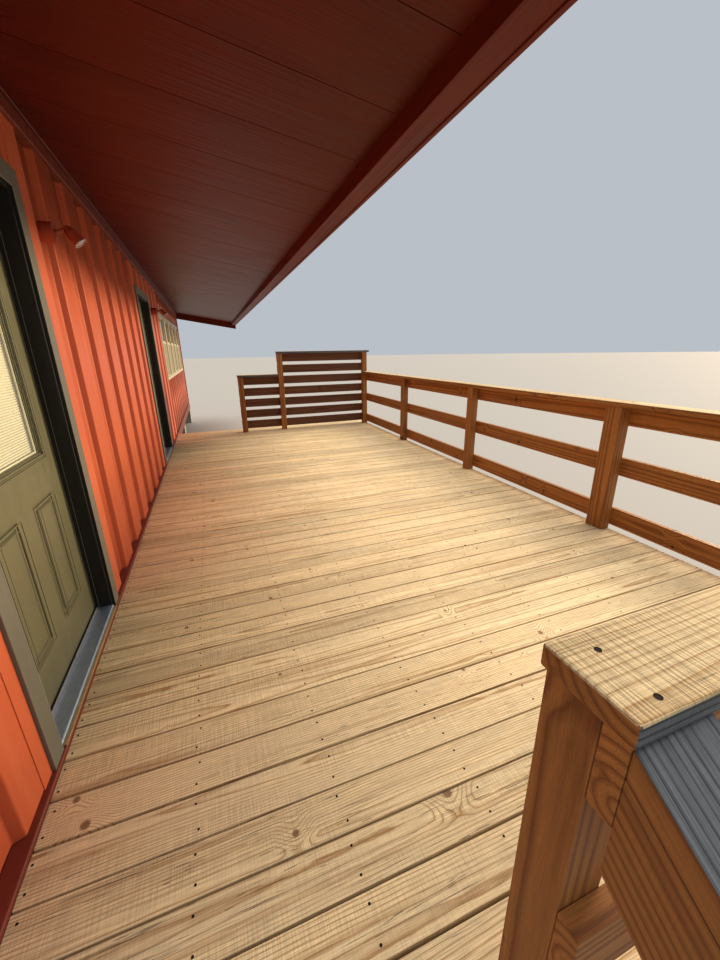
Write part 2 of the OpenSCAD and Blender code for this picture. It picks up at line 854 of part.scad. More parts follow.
// the sheet's cross section: a flat pan with a rib every sheet_pitch, drawn upwards as negative
sheet_y0 = roof_y0 - sheet_lip;
sheet_y1 = roof_y1 + sheet_lip;
sheet_first = 30;
sheet_outline = concat(
    [[0, sheet_y0], [-sheet_t, sheet_y0]],
    [for (k = [0 : floor((sheet_y1 - sheet_y0 - sheet_first - sheet_rib_wid) / sheet_pitch)])
        let (y = sheet_y0 + sheet_first + k * sheet_pitch)
        each [[-sheet_t, y], [-sheet_t - sheet_rib, y + sheet_rib_wid * 0.25],
              [-sheet_t - sheet_rib, y + sheet_rib_wid * 0.75], [-sheet_t, y + sheet_rib_wid]]],
    [[-sheet_t, sheet_y1], [0, sheet_y1]]
);

// one slope of sheet, from the ridge down over a run, with its underside on the rafters
module sheet_slope(run) {
    gap = 8;
    translate([ridge_x, 0, under_z(ridge_x) + rafter_v]) rotate([0, 90 + roof_angle, 0])
        translate([0, 0, gap]) linear_extrude(height = run / cos(roof_angle) - gap)
            polygon(sheet_outline);
}

module roof_sheets() {
    color(roof_red) place() {
        sheet_slope(box_x + sheet_out - ridge_x);
        translate([ridge_x, 0, 0]) mirror([1, 0, 0]) translate([-ridge_x, 0, 0])
            sheet_slope(ridge_x - back_fascia_x + sheet_out);
    }
}

module ridge_cap() {
    z = under_z(ridge_x) + rafter_v + (sheet_t + sheet_rib) / cos(roof_angle);
    fall = ridge_wid / roof_run;
    t = ridge_t / cos(roof_angle);
    color(roof_red) place() along_y(sheet_y0, sheet_y1, [
        [ridge_x - ridge_wid, z - fall], [ridge_x, z], [ridge_x + ridge_wid, z - fall],
        [ridge_x + ridge_wid, z - fall + t], [ridge_x, z + t], [ridge_x - ridge_wid, z - fall + t]
    ]);
}

module soffits() {
    y0 = roof_y0 + barge_t;
    y1 = roof_y1 - barge_t;
    t = soffit_t / cos(roof_angle);
    color(roof_red) place() {
        translate([0, 0, -seat]) along_y(y0, y1, [
            [front_x, plate_z - t], [eave_x, under_z(eave_x) - t], [eave_x, under_z(eave_x)], [front_x, plate_z]
        ]);
        translate([0, 0, -seat]) along_y(y0, y1, [
            [back_eave_x, back_under_z(back_eave_x) - t], [back_x, plate_z - t],
            [back_x, plate_z], [back_eave_x, back_under_z(back_eave_x)]
        ]);
    }
}

module eave_fascias() {
    y0 = roof_y0 + barge_t;
    y1 = roof_y1 - barge_t;
    z0 = under_z(eave_x) - soffit_t - eave_drop;
    b0 = back_under_z(back_eave_x) - soffit_t - fascia_drop;
    color(roof_red) place() {
        along_y(y0, y1, [
            [eave_x, z0], [box_x, z0], [box_x, under_z(box_x) + rafter_v], [eave_x, under_z(eave_x) + rafter_v]
        ]);
        along_y(y0, y1, [
            [back_fascia_x, b0], [back_eave_x, b0], [back_eave_x, back_under_z(back_eave_x) + rafter_v],
            [back_fascia_x, back_under_z(back_fascia_x) + rafter_v]
        ]);
    }
}

module barge_boards() {
    low = soffit_t + barge_drop;
    color(roof_red) place()
        for (y = [roof_y0, roof_y1 - barge_t])
            along_y(y, y + barge_t, [
                [back_fascia_x, back_under_z(back_fascia_x) - low], [ridge_x, under_z(ridge_x) - low],
                [box_x, under_z(box_x) - low], [box_x, under_z(box_x) + rafter_v],
                [ridge_x, under_z(ridge_x) + rafter_v],
                [back_fascia_x, back_under_z(back_fascia_x) + rafter_v]
            ]);
}

module gable_boards() {
    x1 = front_x - plate_wid;
    x0 = back_x + plate_wid;
    half = rafter_wid / 2;
    z1 = under_z(x1) - seat;
    z2 = under_z(ridge_x + half) - seat;
    color(steel_red) place()
        for (y = [0, container_len - gable_board_t])
            along_y(y, y + gable_board_t, [
                [x0, top_z], [x1, top_z], [x1, z1], [ridge_x + half, z2], [ridge_x + half, ridge_board_z],
                [ridge_x - half, ridge_board_z], [ridge_x - half, z2], [x0, z1]
            ]);
}

module deck_boards() {
    color(pine) deck_place() span([deck_x0, 0, deck_hgt - board_t], [deck_x1, deck_len, deck_hgt]);
}

module deck_joists() {
    z1 = deck_hgt - board_t;
    step = (deck_wid - board_t) / (joist_count - 1);
    color(pine) deck_place() {
        for (k = [0 : joist_count - 1])
            let (x = deck_x0 + k * step)
            span([x, 0, joist_z], [x + board_t, deck_len, z1]);
        for (y = [0, deck_len - board_t])
            span([deck_x0, y, joist_z], [deck_x1, y + board_t, z1]);
    }
}

// beams across the deck, each on its row of feet
module deck_beams() {
    y_step = (deck_len - beam_wid) / (beam_count - 1);
    x_step = (deck_wid - beam_wid) / (foot_count - 1);
    color(stained) deck_place()
        for (k = [0 : beam_count - 1]) translate([0, k * y_step, 0]) {
            span([deck_x0, 0, beam_z], [deck_x1, beam_wid, joist_z]);
            for (j = [0 : foot_count - 1])
                translate([deck_x0 + j * x_step, 0, 0]) cube([beam_wid, beam_wid, beam_z]);
        }
}

// one post on the deck
module deck_post(x, y, len_y, top) {
    span([x, y, deck_hgt], [x + timber_post, y + len_y, deck_hgt + top]);
}

module rail_posts() {
    color(stained) deck_place() {
        deck_post(stair_post_x, near_post_y, timber_post, rail_hgt);
        deck_post(outer_post_x, near_post_y, timber_post, rail_hgt);
        deck_post(outer_post_x, side_post_1, wide_post, rail_hgt);
        deck_post(outer_post_x, side_post_2, timber_post, rail_hgt);
        deck_post(outer_post_x, side_post_3, timber_post, rail_hgt);
        deck_post(outer_post_x, far_post, timber_post, screen_hgt);
        deck_post(tall_screen_x, far_post, timber_post, screen_hgt);
        deck_post(low_screen_x, far_post, timber_post, low_screen_hgt);
        span([stair_post_x + board_t, foot_post_y, 0],
             [stair_post_x + board_t + timber_post, foot_post_y + timber_post, stair_rail_z(foot_post_y)]);
    }
}

module rail_boards() {
    color(stained) deck_place()
        for (z = [low_rail_base, mid_rail_base, rail_hgt - board_wid]) {
            span([stair_post_x, 0, deck_hgt + z], [deck_x1, board_t, deck_hgt + z + board_wid]);
            span([deck_x1, 0, deck_hgt + z], [deck_x1 + board_t, screen_y + board_t, deck_hgt + z + board_wid]);
        }
}

module screen_boards() {
    color("#5E4634") deck_place()
        for (k = [0 : screen_tall - 1])
            let (z = deck_hgt + screen_first - board_wid + k * screen_pitch,
                 x = k < screen_low ? low_screen_x : tall_screen_x)
            span([x, screen_y, z], [deck_x1, screen_y + board_t, z + board_wid]);
}

module cap_boards() {
    z = deck_hgt + rail_hgt;
    side_x = deck_x1 + board_t + cap_lip - board_wid;
    cap_y1 = screen_y + board_t + cap_lip;
    color(pine) deck_place() {
        span([stair_post_x - cap_lip, -cap_lip, z], [side_x, board_wid - cap_lip, z + board_t]);
        span([side_x, -cap_lip, z], [side_x + board_wid, far_post, z + board_t]);
        translate([0, 0, deck_hgt + screen_hgt])
            span([tall_screen_x - cap_lip, cap_y1 - board_wid, 0], [side_x + board_wid, cap_y1, board_t]);
        translate([0, 0, deck_hgt + low_screen_hgt])
            span([low_screen_x - cap_lip, cap_y1 - board_wid, 0], [tall_screen_x, cap_y1, board_t]);
    }
}

module stair_stringers() {
    last = -(riser_count - 1) * tread_run;
    back_foot = last + tread_run * 0.7;
    x_mid = (stair_x0 + stair_x1 - board_t) / 2;
    steps = [for (k = [1 : riser_count - 1]) each [
        [-(k - 1) * tread_run, deck_hgt - k * riser - board_t],
        [-k * tread_run, deck_hgt - k * riser - board_t]
    ]];
    color(pine) deck_place()
        for (x = [stair_x0, x_mid, stair_x1 - board_t])
            along_x(x, x + board_t, concat(steps, [[last, 0], [back_foot, 0], [0, -back_foot * rail_fall]]));
}

// two boards side by side on each step
module stair_treads() {
    lip = 20;
    color(pine) deck_place()
        for (k = [1 : riser_count - 1], j = [0, 1])
            let (y1 = -(k - 1) * tread_run - j * (board_wid_2 + board_gap), z = deck_hgt - k * riser)
            span([stair_x0 - lip, y1 - board_wid_2, z - board_t], [stair_x1, y1, z]);
}

// a sloping board from the first post to the foot post, with a flat board on its edge
module stair_rail() {
    v = stair_rail_dep * sqrt(1 + rail_fall * rail_fall);
    t = board_t * sqrt(1 + rail_fall * rail_fall);
    y1 = foot_post_y;
    y2 = foot_post_y - cap_lip;
    color(stained) deck_place() {
        along_x(stair_post_x, stair_post_x + board_t, [
            [0, stair_rail_z(0)], [0, stair_rail_z(0) - v], [y1, stair_rail_z(y1) - v], [y1, stair_rail_z(y1)]
        ]);
        along_x(stair_post_x, stair_post_x + board_wid, [
            [0, stair_rail_z(0)], [y2, stair_rail_z(y2)], [y2, stair_rail_z(y2) + t], [0, stair_rail_z(0) + t]
        ]);
    }
}

foundation_blocks();
container_rails();
floor_bearers();
floor();
corner_posts();
corner_blocks();
container_roof();
ceiling();
front_wall_near();
front_wall_middle();
front_wall_pier();
front_wall_end();
front_wall_over_doors();
front_wall_under_windows();
front_wall_over_windows();
back_wall();
near_end_wall();
far_end_wall();
door_frames();
doorsills();
door_1_leaf();
door_1_glass();
door_1_hardware();
door_2_leaf();
door_2_glass();
door_2_hardware();
window_frame();
window_sashes();
window_glass();
flood_lights();
roof_plates();
rafters();
roof_sheets();
ridge_cap();
soffits();
eave_fascias();
barge_boards();
gable_boards();
deck_boards();
deck_joists();
deck_beams();
rail_posts();
rail_boards();
screen_boards();
cap_boards();
stair_stringers();
stair_treads();
stair_rail();
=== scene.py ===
import math
import random

import bmesh
import bpy
import numpy as np
from mathutils import Matrix, Vector


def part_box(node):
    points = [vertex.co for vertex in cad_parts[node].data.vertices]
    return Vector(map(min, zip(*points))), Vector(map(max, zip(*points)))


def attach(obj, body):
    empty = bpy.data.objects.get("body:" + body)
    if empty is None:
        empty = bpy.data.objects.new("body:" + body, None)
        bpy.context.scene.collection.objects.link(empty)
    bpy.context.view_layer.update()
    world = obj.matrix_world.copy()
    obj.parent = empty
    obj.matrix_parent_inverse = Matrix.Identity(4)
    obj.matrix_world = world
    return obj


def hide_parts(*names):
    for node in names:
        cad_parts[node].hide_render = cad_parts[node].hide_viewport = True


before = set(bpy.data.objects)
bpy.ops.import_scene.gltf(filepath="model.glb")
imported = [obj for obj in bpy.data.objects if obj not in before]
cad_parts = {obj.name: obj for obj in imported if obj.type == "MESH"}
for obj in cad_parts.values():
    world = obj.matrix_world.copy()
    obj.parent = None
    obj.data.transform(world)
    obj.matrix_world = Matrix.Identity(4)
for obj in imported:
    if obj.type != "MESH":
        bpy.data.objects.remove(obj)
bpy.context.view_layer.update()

random.seed(41)
scene = bpy.context.scene
print("stage: frame loaded", len(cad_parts), "nodes")


def hexColour(code):  # sRGB hex to the linear colour that a socket takes
    parts = [int(code[i:i + 2], 16) / 255 for i in (1, 3, 5)]
    return tuple(c / 12.92 if c <= 0.04045 else ((c + 0.055) / 1.055) ** 2.4 for c in parts) + (1.0,)


def fillSockets(tree, node, sockets):  # a node given as a value stands for its first output
    for key, value in sockets.items():
        if isinstance(value, bpy.types.Node):
            value = value.outputs[0]
        if isinstance(value, bpy.types.NodeSocket):
            tree.links.new(value, node.inputs[key])
        else:
            node.inputs[key].default_value = hexColour(value) if isinstance(value, str) else value


def addNode(tree, kind, *values, at=None, **named):
    # values fill the sockets in order, at fills them by number, and a name with a capital is a socket's own
    node = tree.nodes.new("ShaderNode" + kind)
    sockets = {**dict(enumerate(values)), **(at or {})}
    for name, value in named.items():
        if name[0].isupper():
            sockets[name] = value
        elif name == "stops":  # a ramp's stops, as (place, grey)
            while len(node.color_ramp.elements) < len(value):
                node.color_ramp.elements.new(0.5)
            for element, (place, grey) in zip(node.color_ramp.elements, value):
                element.position = place
                element.color = (grey, grey, grey, 1)
        else:
            setattr(node, name, value)
    fillSockets(tree, node, sockets)
    return node


def startMaterial(name):
    material = bpy.data.materials.new(name)
    material.use_nodes = True
    tree = material.node_tree
    return material, tree, tree.nodes["Principled BSDF"]


def makeSpeckled(name, scale, detail, tones, fixed):  # two tones in soft specks, over uniform values
    material, tree, shader = startMaterial(name)
    place = addNode(tree, "TexCoord").outputs["Object"]
    specks = addNode(tree, "TexNoise", Vector=place, Scale=scale, Detail=detail)
    colour = addNode(tree, "Mix", specks, at={6: tones[0], 7: tones[1]}, data_type="RGBA").outputs[2]
    fillSockets(tree, shader, {"Base Color": colour, **fixed})
    return material


def deselectAll():
    if bpy.context.object and bpy.context.object.mode != "OBJECT":
        bpy.ops.object.mode_set(mode="OBJECT")
    bpy.ops.object.select_all(action="DESELECT")


def pick(piece):
    deselectAll()
    piece.select_set(True)
    bpy.context.view_layer.objects.active = piece


def editAll():  # edit mode with everything selected
    bpy.ops.object.mode_set(mode="EDIT")
    bpy.ops.mesh.select_all(action="SELECT")


def applyScale(piece, size):
    piece.scale = size
    bpy.ops.object.transform_apply(location=True, rotation=True, scale=True)


def pull(x, y, z):  # extrude what is selected
    bpy.ops.mesh.extrude_region_move(TRANSFORM_OT_translate={"value": (x, y, z)})


def closeShell():
    bpy.ops.mesh.select_all(action="SELECT")
    bpy.ops.mesh.normals_make_consistent(inside=False)
    bpy.ops.object.mode_set(mode="OBJECT")


def applyModifier(piece, kind, **settings):
    pick(piece)
    modifier = piece.modifiers.new(kind.title(), kind)
    for name, value in settings.items():
        setattr(modifier, name, value)
    bpy.ops.object.modifier_apply(modifier=modifier.name)


def easeEdges(piece, width, segments=2, angle=32):
    applyModifier(piece, "BEVEL", width=width, segments=segments, limit_method="ANGLE",
                  angle_limit=math.radians(angle), use_clamp_overlap=True)


def smoothFaces(piece, angle=35):  # weighted normals keep the big faces flat beside their rounded edges
    pick(piece)
    bpy.ops.object.shade_smooth_by_angle(angle=math.radians(angle))
    applyModifier(piece, "WEIGHTED_NORMAL", keep_sharp=True)


def joinPieces(pieces, name):
    deselectAll()
    for piece in pieces:
        piece.select_set(True)
    bpy.context.view_layer.objects.active = pieces[0]
    if len(pieces) > 1:
        bpy.ops.object.join()
    joined = bpy.context.view_layer.objects.active
    joined.name = name
    return joined


def finishPiece(piece, material, body="root", replaced=()):
    piece.data.materials.clear()
    piece.data.materials.append(material)
    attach(piece, body)
    if replaced:
        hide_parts(*replaced)
    return piece


def coatNode(nodeName, material):  # a CAD node keeps its mesh and gets a material
    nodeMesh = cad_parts[nodeName].data
    nodeMesh.materials.clear()
    nodeMesh.materials.append(material)


def mergedCopy(nodeName, pieceName):  # a CAD node is loose triangles, so its copy is merged first
    piece = bpy.data.objects.new(pieceName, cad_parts[nodeName].data.copy())
    scene.collection.objects.link(piece)
    pick(piece)
    editAll()
    bpy.ops.mesh.remove_doubles(threshold=0.00002)
    bpy.ops.mesh.dissolve_limited(angle_limit=math.radians(0.5))
    bpy.ops.object.mode_set(mode="OBJECT")
    return piece


def edgedCopy(nodeName, pieceName, material, width, body="root"):
    piece = mergedCopy(nodeName, pieceName)
    easeEdges(piece, width)
    smoothFaces(piece, 40)
    return finishPiece(piece, material, body, [nodeName])


def looseParts(nodeName):  # the box of each separate board or plate of a node
    shape = bmesh.new()
    shape.from_mesh(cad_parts[nodeName].data)
    bmesh.ops.remove_doubles(shape, verts=shape.verts[:], dist=0.00002)
    seen, boxes = set(), []
    for start in shape.verts:
        if start in seen:
            continue
        group, queue = [], [start]
        seen.add(start)
        while queue:
            vert = queue.pop()
            group.append(vert.co.copy())
            for edge in vert.link_edges:
                other = edge.other_vert(vert)
                if other not in seen:
                    seen.add(other)
                    queue.append(other)
        boxes.append((Vector(map(min, *group)), Vector(map(max, *group))))
    shape.free()
    return boxes


# camera and light

cameraValues = {
    "place": (0.2728, -6.2485, 1.934),  # standing at the top of the stair
    "turn": 20.06,  # degrees right of the long wall
    "dip": 18.31, "roll": -0.92, "lens": 14.72, "near": 0.02, "far": 400,
}
cameraData = bpy.data.cameras.new("camera")
cameraData.lens = cameraValues["lens"]
cameraData.sensor_width = 36
cameraData.clip_start = cameraValues["near"]
cameraData.clip_end = cameraValues["far"]
camera = bpy.data.objects.new("camera", cameraData)
scene.collection.objects.link(camera)
camera.matrix_world = (
    Matrix.Translation(cameraValues["place"])
    @ Matrix.Rotation(math.radians(-cameraValues["turn"]), 4, "Z")
    @ Matrix.Rotation(math.radians(90 - cameraValues["dip"]), 4, "X")
    @ Matrix.Rotation(math.radians(cameraValues["roll"]), 4, "Z")
)
scene.camera = camera

lightValues = {
    "sky": "#E6EDF6", "skyPower": 0.62,
    # a low warm key that meets the long wall from its far end, and a soft one from above
    "keyTurn": 20.0, "keyRise": 9.5, "keySpread": 11.0, "keyPower": 3.5, "keyColour": "#FFE0B8",
    "topTurn": 25.0, "topRise": 72.0, "topSpread": 50.0, "topPower": 2.95, "topColour": "#FFF5EA",
}
world = bpy.data.worlds.new("studio")
world.use_nodes = True
scene.world = world
fillSockets(world.node_tree, world.node_tree.nodes["Background"],
            {"Color": lightValues["sky"], "Strength": lightValues["skyPower"]})
for lightName in ("key", "top"):
    lightData = bpy.data.lights.new(lightName, "SUN")
    lightData.angle = math.radians(lightValues[lightName + "Spread"])
    lightData.energy = lightValues[lightName + "Power"]
    lightData.color = hexColour(lightValues[lightName + "Colour"])[:3]
    light = bpy.data.objects.new(lightName, lightData)
    scene.collection.objects.link(light)
    turn, rise = (math.radians(lightValues[lightName + part]) for part in ("Turn", "Rise"))
    source = Vector((math.cos(turn) * math.cos(rise), math.sin(turn) * math.cos(rise), math.sin(rise)))
    light.rotation_euler = source.to_track_quat("Z", "Y").to_euler()
scene.view_settings.view_transform = "Standard"

floorValues = {"radius": 150.0, "sides": 96, "drop": 0.002, "colour": "#A5A29B"}
deselectAll()
bpy.ops.mesh.primitive_circle_add(vertices=floorValues["sides"], radius=floorValues["radius"], fill_type="NGON",
                                  location=(0, 0, -floorValues["drop"]))
studioFloor = bpy.context.object
studioFloor.name = "studioFloor"
floorPaint, tree, shader = startMaterial("matt_studio_floor")  # plain pale floor
fillSockets(tree, shader, {"Base Color": floorValues["colour"], "Roughness": 0.9})
studioFloor.data.materials.append(floorPaint)
applyScale(studioFloor, (1, 1, 1))
print("stage: camera and light")


# timber: growth rings round a pith that wanders along each board, knots, saw marks and weather

timberFields = (  # name, waves a metre along and across the grain, detail
    ("wander", 0.55, 0.9, 1.0), ("ripple", 5.0, 45.0, 3.0), ("fibre", 14.0, 520.0, 3.0),
    ("saw", 190.0, 9.0, 1.0), ("patch", 2.6, 9.0, 2.0), ("cloud", 1.3, 11.0, 5.0), ("split", 1.6, 95.0, 1.0),
    ("where", 1.1, 7.0, 1.0), ("stain", 0.8, 26.0, 2.0))


def drawnNoise(tree, place, waves, detail):  # noise with its own waves a metre along each axis
    drawn = addNode(tree, "VectorMath", place, waves, operation="MULTIPLY")
    return addNode(tree, "TexNoise", Vector=drawn, Scale=1.0, Detail=detail)


def layTints(tree, colour, fields, rows):  # a row is a field, its low and high, the most it covers and a tint
    for field, low, high, most, tint in rows:
        share = addNode(tree, "MapRange", fields[field], low, high, 0.0, most)
        colour = addNode(tree, "Mix", share, at={6: colour, 7: tint}, data_type="RGBA").outputs[2]
    return colour


def grainFields(tree, fieldRows):  # noise drawn out along each board's own grain
    grain = addNode(tree, "Attribute", attribute_name="grain").outputs["Vector"]
    tone = addNode(tree, "Attribute", attribute_name="tone").outputs["Fac"]
    fields = {field: drawnNoise(tree, grain, (along, across, across), detail)
              for field, along, across, detail in fieldRows}
    return grain, tone, fields


def makeTimber(name, look):
    material, tree, shader = startMaterial(name)
    grain, tone, fields = grainFields(tree, timberFields)
    # rings: distance from the pith, with a wander of some centimetres
    wander = look["wander"]
    shift = addNode(tree, "VectorMath", fields["wander"].outputs["Color"], (0.0, wander, wander),
                    (0.0, -wander / 2, -wander / 2), operation="MULTIPLY_ADD")
    bent = addNode(tree, "VectorMath", grain, shift, operation="ADD")
    bent = addNode(tree, "VectorMath", bent, (0.0, 1.0, 1.0), operation="MULTIPLY")
    radius = addNode(tree, "VectorMath", bent, operation="LENGTH").outputs["Value"]
    radius = addNode(tree, "Math", fields["ripple"], 0.0045, radius, operation="MULTIPLY_ADD")
    # knots: the rings close round each of them
    cells = addNode(tree, "TexVoronoi", Vector=grain, Scale=look["knots"], voronoi_dimensions="2D")
    away = addNode(tree, "Math", cells.outputs["Distance"], look["knots"], operation="DIVIDE")
    chance = addNode(tree, "SeparateColor", cells.outputs["Color"])
    knotSize = addNode(tree, "MapRange", chance, 0.45, 1.0, 0.0004, look["knotSize"])
    reach = addNode(tree, "Math", knotSize, 4.6, 0.006, operation="MULTIPLY_ADD")
    near = addNode(tree, "Math", away, reach, operation="DIVIDE")
    swirl = addNode(tree, "MapRange", near, 0.0, 1.3, 2.4, 0.0, interpolation_type="SMOOTHSTEP")
    swirl = addNode(tree, "Math", swirl, knotSize, operation="MULTIPLY")
    radius = addNode(tree, "Math", radius, swirl, operation="ADD")
    phase = addNode(tree, "Math", radius, look["ringGap"], operation="DIVIDE")
    phase = addNode(tree, "Math", phase, operation="FRACT")
    late = addNode(tree, "ValToRGB", phase, stops=look["ringStops"])
    # weather: worn in drawn-out clouds, some boards more than others
    other = addNode(tree, "Math", tone, 0.14, operation="PINGPONG")
    cloud = addNode(tree, "Math", fields["cloud"], other, operation="ADD")
    worn = addNode(tree, "MapRange", cloud, 0.42, 0.8, 0.0, look["wear"])
    stain = addNode(tree, "MapRange", fields["stain"], 0.56, 0.72, 0.0, look["stain"])
    # knot: a brown heart with a soft rim
    share = addNode(tree, "Math", away, knotSize, operation="DIVIDE")
    heart = addNode(tree, "MapRange", share, 0.6, 1.3, 0.85, 0.0, interpolation_type="SMOOTHSTEP")
    colour = look["early"]
    for share, tint in ((late, "late"), (worn, "worn"), (stain, "late"), (heart, "knot")):
        colour = addNode(tree, "Mix", share, at={6: colour, 7: look[tint]}, data_type="RGBA").outputs[2]
    # bandsaw lines across the board, about 4 mm apart, in patches
    patch = addNode(tree, "MapRange", fields["patch"], 0.38, 0.62, 0.25, 1.0)
    sawMark = addNode(tree, "MapRange", fields["saw"], 0.4, 0.62, 0.0, 1.0)
    sawMark = addNode(tree, "Math", sawMark, patch, operation="MULTIPLY")
    # drying cracks along the grain
    split = addNode(tree, "Math", fields["split"], 0.5, 0.008, operation="COMPARE")
    where = addNode(tree, "MapRange", fields["where"], 0.55, 0.63, 0.0, look["cracks"])
    split = addNode(tree, "Math", split, where, operation="MULTIPLY")
    # all the tones that only darken or lighten
    shade = addNode(tree, "MapRange", fields["fibre"], 0.32, 0.68, look["fibreLow"], 1.12)
    boardTone = addNode(tree, "MapRange", tone, 0.0, 1.0, look["toneLow"], look["toneHigh"])
    for mark, strength in ((sawMark, look["saw"]), (split, 0.7)):
        left = addNode(tree, "MapRange", mark, 0.0, 1.0, 1.0, 1.0 - strength)
        shade = addNode(tree, "Math", shade, left, operation="MULTIPLY")
    shade = addNode(tree, "Math", shade, boardTone, operation="MULTIPLY")
    toned = addNode(tree, "VectorMath", colour, Scale=shade, operation="SCALE")
    rough = addNode(tree, "MapRange", fields["fibre"], 0.3, 0.7, look["rough"] - 0.08, look["rough"] + 0.08)
    height = fields["fibre"]
    for mark, depth in ((late, 0.5), (sawMark, -look["sawDepth"]), (split, -2.0)):
        height = addNode(tree, "Math", mark, depth, height, operation="MULTIPLY_ADD")
    bump = addNode(tree, "Bump", Strength=0.6, Distance=0.0012, Height=height)
    fillSockets(tree, shader, {"Base Color": toned, "Roughness": rough, "Normal": bump, "IOR": 1.45,
                               "Specular IOR Level": look["gloss"]})
    return material


sharpRings = [(0.0, 0.14), (0.55, 0.02), (0.84, 0.6), (0.93, 1), (1.0, 0.14)]
softRings = [(0.0, 0.3), (0.4, 0.05), (0.85, 0.95), (1.0, 0.32)]
timberBase = {
    "wander": 0.05, "ringGap": 0.0085, "ringStops": sharpRings, "knots": 2.6, "knotSize": 0.017, "saw": 0.12,
    "sawDepth": 0.8, "wear": 0.5, "cracks": 0.8, "fibreLow": 0.8, "rough": 0.76, "gloss": 0.3, "toneLow": 0.88,
    "toneHigh": 1.08, "stain": 0.5, "knot": "#7A5432", "worn": "#B5A68F"}
deckPine = makeTimber("rough_sawn_pine_decking", {  # straw-yellow, faintly sawn across, with fine dark rings
    **timberBase, "early": "#FAE2B0", "late": "#AC7F47", "worn": "#D3BF9A", "wear": 0.45, "saw": 0.13,
    "fibreLow": 0.72, "toneLow": 0.86, "toneHigh": 1.1})
sunlitCapPine = makeTimber("painted_sunlit_pine_cap", {  # pale straw face as painted sunlight, with fine rings and open saw marks
    **timberBase, "early": "#E0C797", "late": "#A07640", "worn": "#CFBC92", "wear": 0.3, "saw": 0.16,
    "sawDepth": 1.6, "knots": 2.0, "ringGap": 0.0105, "fibreLow": 0.78, "toneLow": 0.97, "stain": 0.25})
railPine = makeTimber("oiled_pine_rail", {  # warm orange-brown, still oily, broad soft rings
    **timberBase, "early": "#BE8040", "late": "#7B441B", "knot": "#2E170B", "worn": "#8A5C33", "wear": 0.4,
    "saw": 0.08, "sawDepth": 0.4, "gloss": 0.35, "rough": 0.62, "ringGap": 0.019, "ringStops": softRings,
    "knots": 3.4, "fibreLow": 0.72, "stain": 0.7})
screenPine = makeTimber("dark_stained_pine_screen", {  # brown stain, darker than the rail
    **timberBase, "early": "#7A4E33", "late": "#4C2D1B", "knot": "#2A180C", "worn": "#644735", "wear": 0.4,
    "saw": 0.1, "rough": 0.66, "ringGap": 0.015, "ringStops": softRings})
silveredShadePine = makeTimber("silvered_and_painted_shade_pine", {  # grey, partly weathering and partly painted sky-lit shade, with deep dark grain
    **timberBase, "early": "#707477", "late": "#202326", "knot": "#161615", "worn": "#6C6F70", "wear": 0.35,
    "saw": 0.08, "cracks": 1.0, "ringGap": 0.0125, "fibreLow": 0.6, "knots": 3.6, "stain": 0.4})
framingPine = makeTimber("rough_sawn_treated_pine", {  # yellow-green framing timber
    **timberBase, "early": "#C4A877", "late": "#8A6A3C", "worn": "#8B7B60", "knot": "#4C321A"})
print("stage: timber materials")


# boards: one blank, and each board is a copy of it with its own mesh

blankValues = {"edge": 0.1, "loops": (-0.66, -0.33, 0.0, 0.33, 0.66)}  # loops along its length, for the bow


def makeBlank():
    deselectAll()
    bpy.ops.mesh.primitive_cube_add(size=2, location=(0, 0, 0))
    blank = bpy.context.object
    blank.name = "boardBlank"
    editAll()
    bpy.ops.mesh.bevel(offset=blankValues["edge"], offset_type="OFFSET", segments=2, affect="EDGES")
    for place in blankValues["loops"]:
        bpy.ops.mesh.select_all(action="SELECT")
        bpy.ops.mesh.bisect(plane_co=(place, 0, 0), plane_no=(1, 0, 0))
    bpy.ops.object.mode_set(mode="OBJECT")
    return blank


boardBlank = makeBlank()
blankPoints = np.array([v.co for v in boardBlank.data.vertices], float)


def setGrain(mesh, grain, tone):  # what the timber and paint materials read
    grain = grain.astype(np.float32).ravel()
    mesh.attributes.new("grain", "FLOAT_VECTOR", "POINT").data.foreach_set("vector", grain)
    mesh.attributes.new("tone", "FLOAT", "POINT").data.foreach_set("value", tone)


def layBoard(low, high, along, edge=0.003, lean=None, bow=0.0):
    # low and high are the board's corners, along is its long axis 0, 1 or 2
    # lean is (axis, rise a metre, start): the board climbs with plumb ends
    low, high = np.array(low, float), np.array(high, float)
    half = (high - low) / 2
    others = [i for i in range(3) if i != along]
    wide, thick = (others if half[others[0]] >= half[others[1]] else others[::-1])
    axes = [along, wide, thick]
    size = half[axes]
    flat = 1 - blankValues["edge"]
    points = np.empty_like(blankPoints)
    for i in range(3):  # the rounded edges keep their radius, and the rest is stretched
        c = blankPoints[:, i]
        outer = np.sign(c) * (size[i] - (1 - np.abs(c)) * edge / blankValues["edge"])
        inner = c / flat * (size[i] - edge)
        points[:, i] = np.where(np.abs(c) > flat - 0.0001, outer, inner)
    grain = points.copy()
    share = points[:, 0] / size[0]
    points[:, 1] += bow * (1 - share ** 2)
    placed = np.empty_like(points)
    for i, axis in enumerate(axes):
        placed[:, axis] = points[:, i] + (low[axis] + high[axis]) / 2
    if lean:
        axis, rise, start = lean
        placed[:, 2] += rise * (placed[:, axis] - start)
    mesh = boardBlank.data.copy()
    if np.linalg.det(np.eye(3)[axes]) < 0:  # swapping axes turns the faces round
        mesh.flip_normals()
    mesh.vertices.foreach_set("co", placed.astype(np.float32).ravel())
    grain[:, 0] += random.uniform(0, 60)
    grain[:, 1] += random.uniform(-0.8, 0.8) * size[1]
    grain[:, 2] += random.uniform(0.02, 0.09) * random.choice((-1, 1))
    setGrain(mesh, grain, np.full(len(grain), random.random(), np.float32))
    board = bpy.data.objects.new("board", mesh)
    scene.collection.objects.link(board)
    return board


def boardPiece(boards, name, material, replaced=()):
    piece = joinPieces(boards, name)
    smoothFaces(piece, 40)
    return finishPiece(piece, material, "root", replaced)


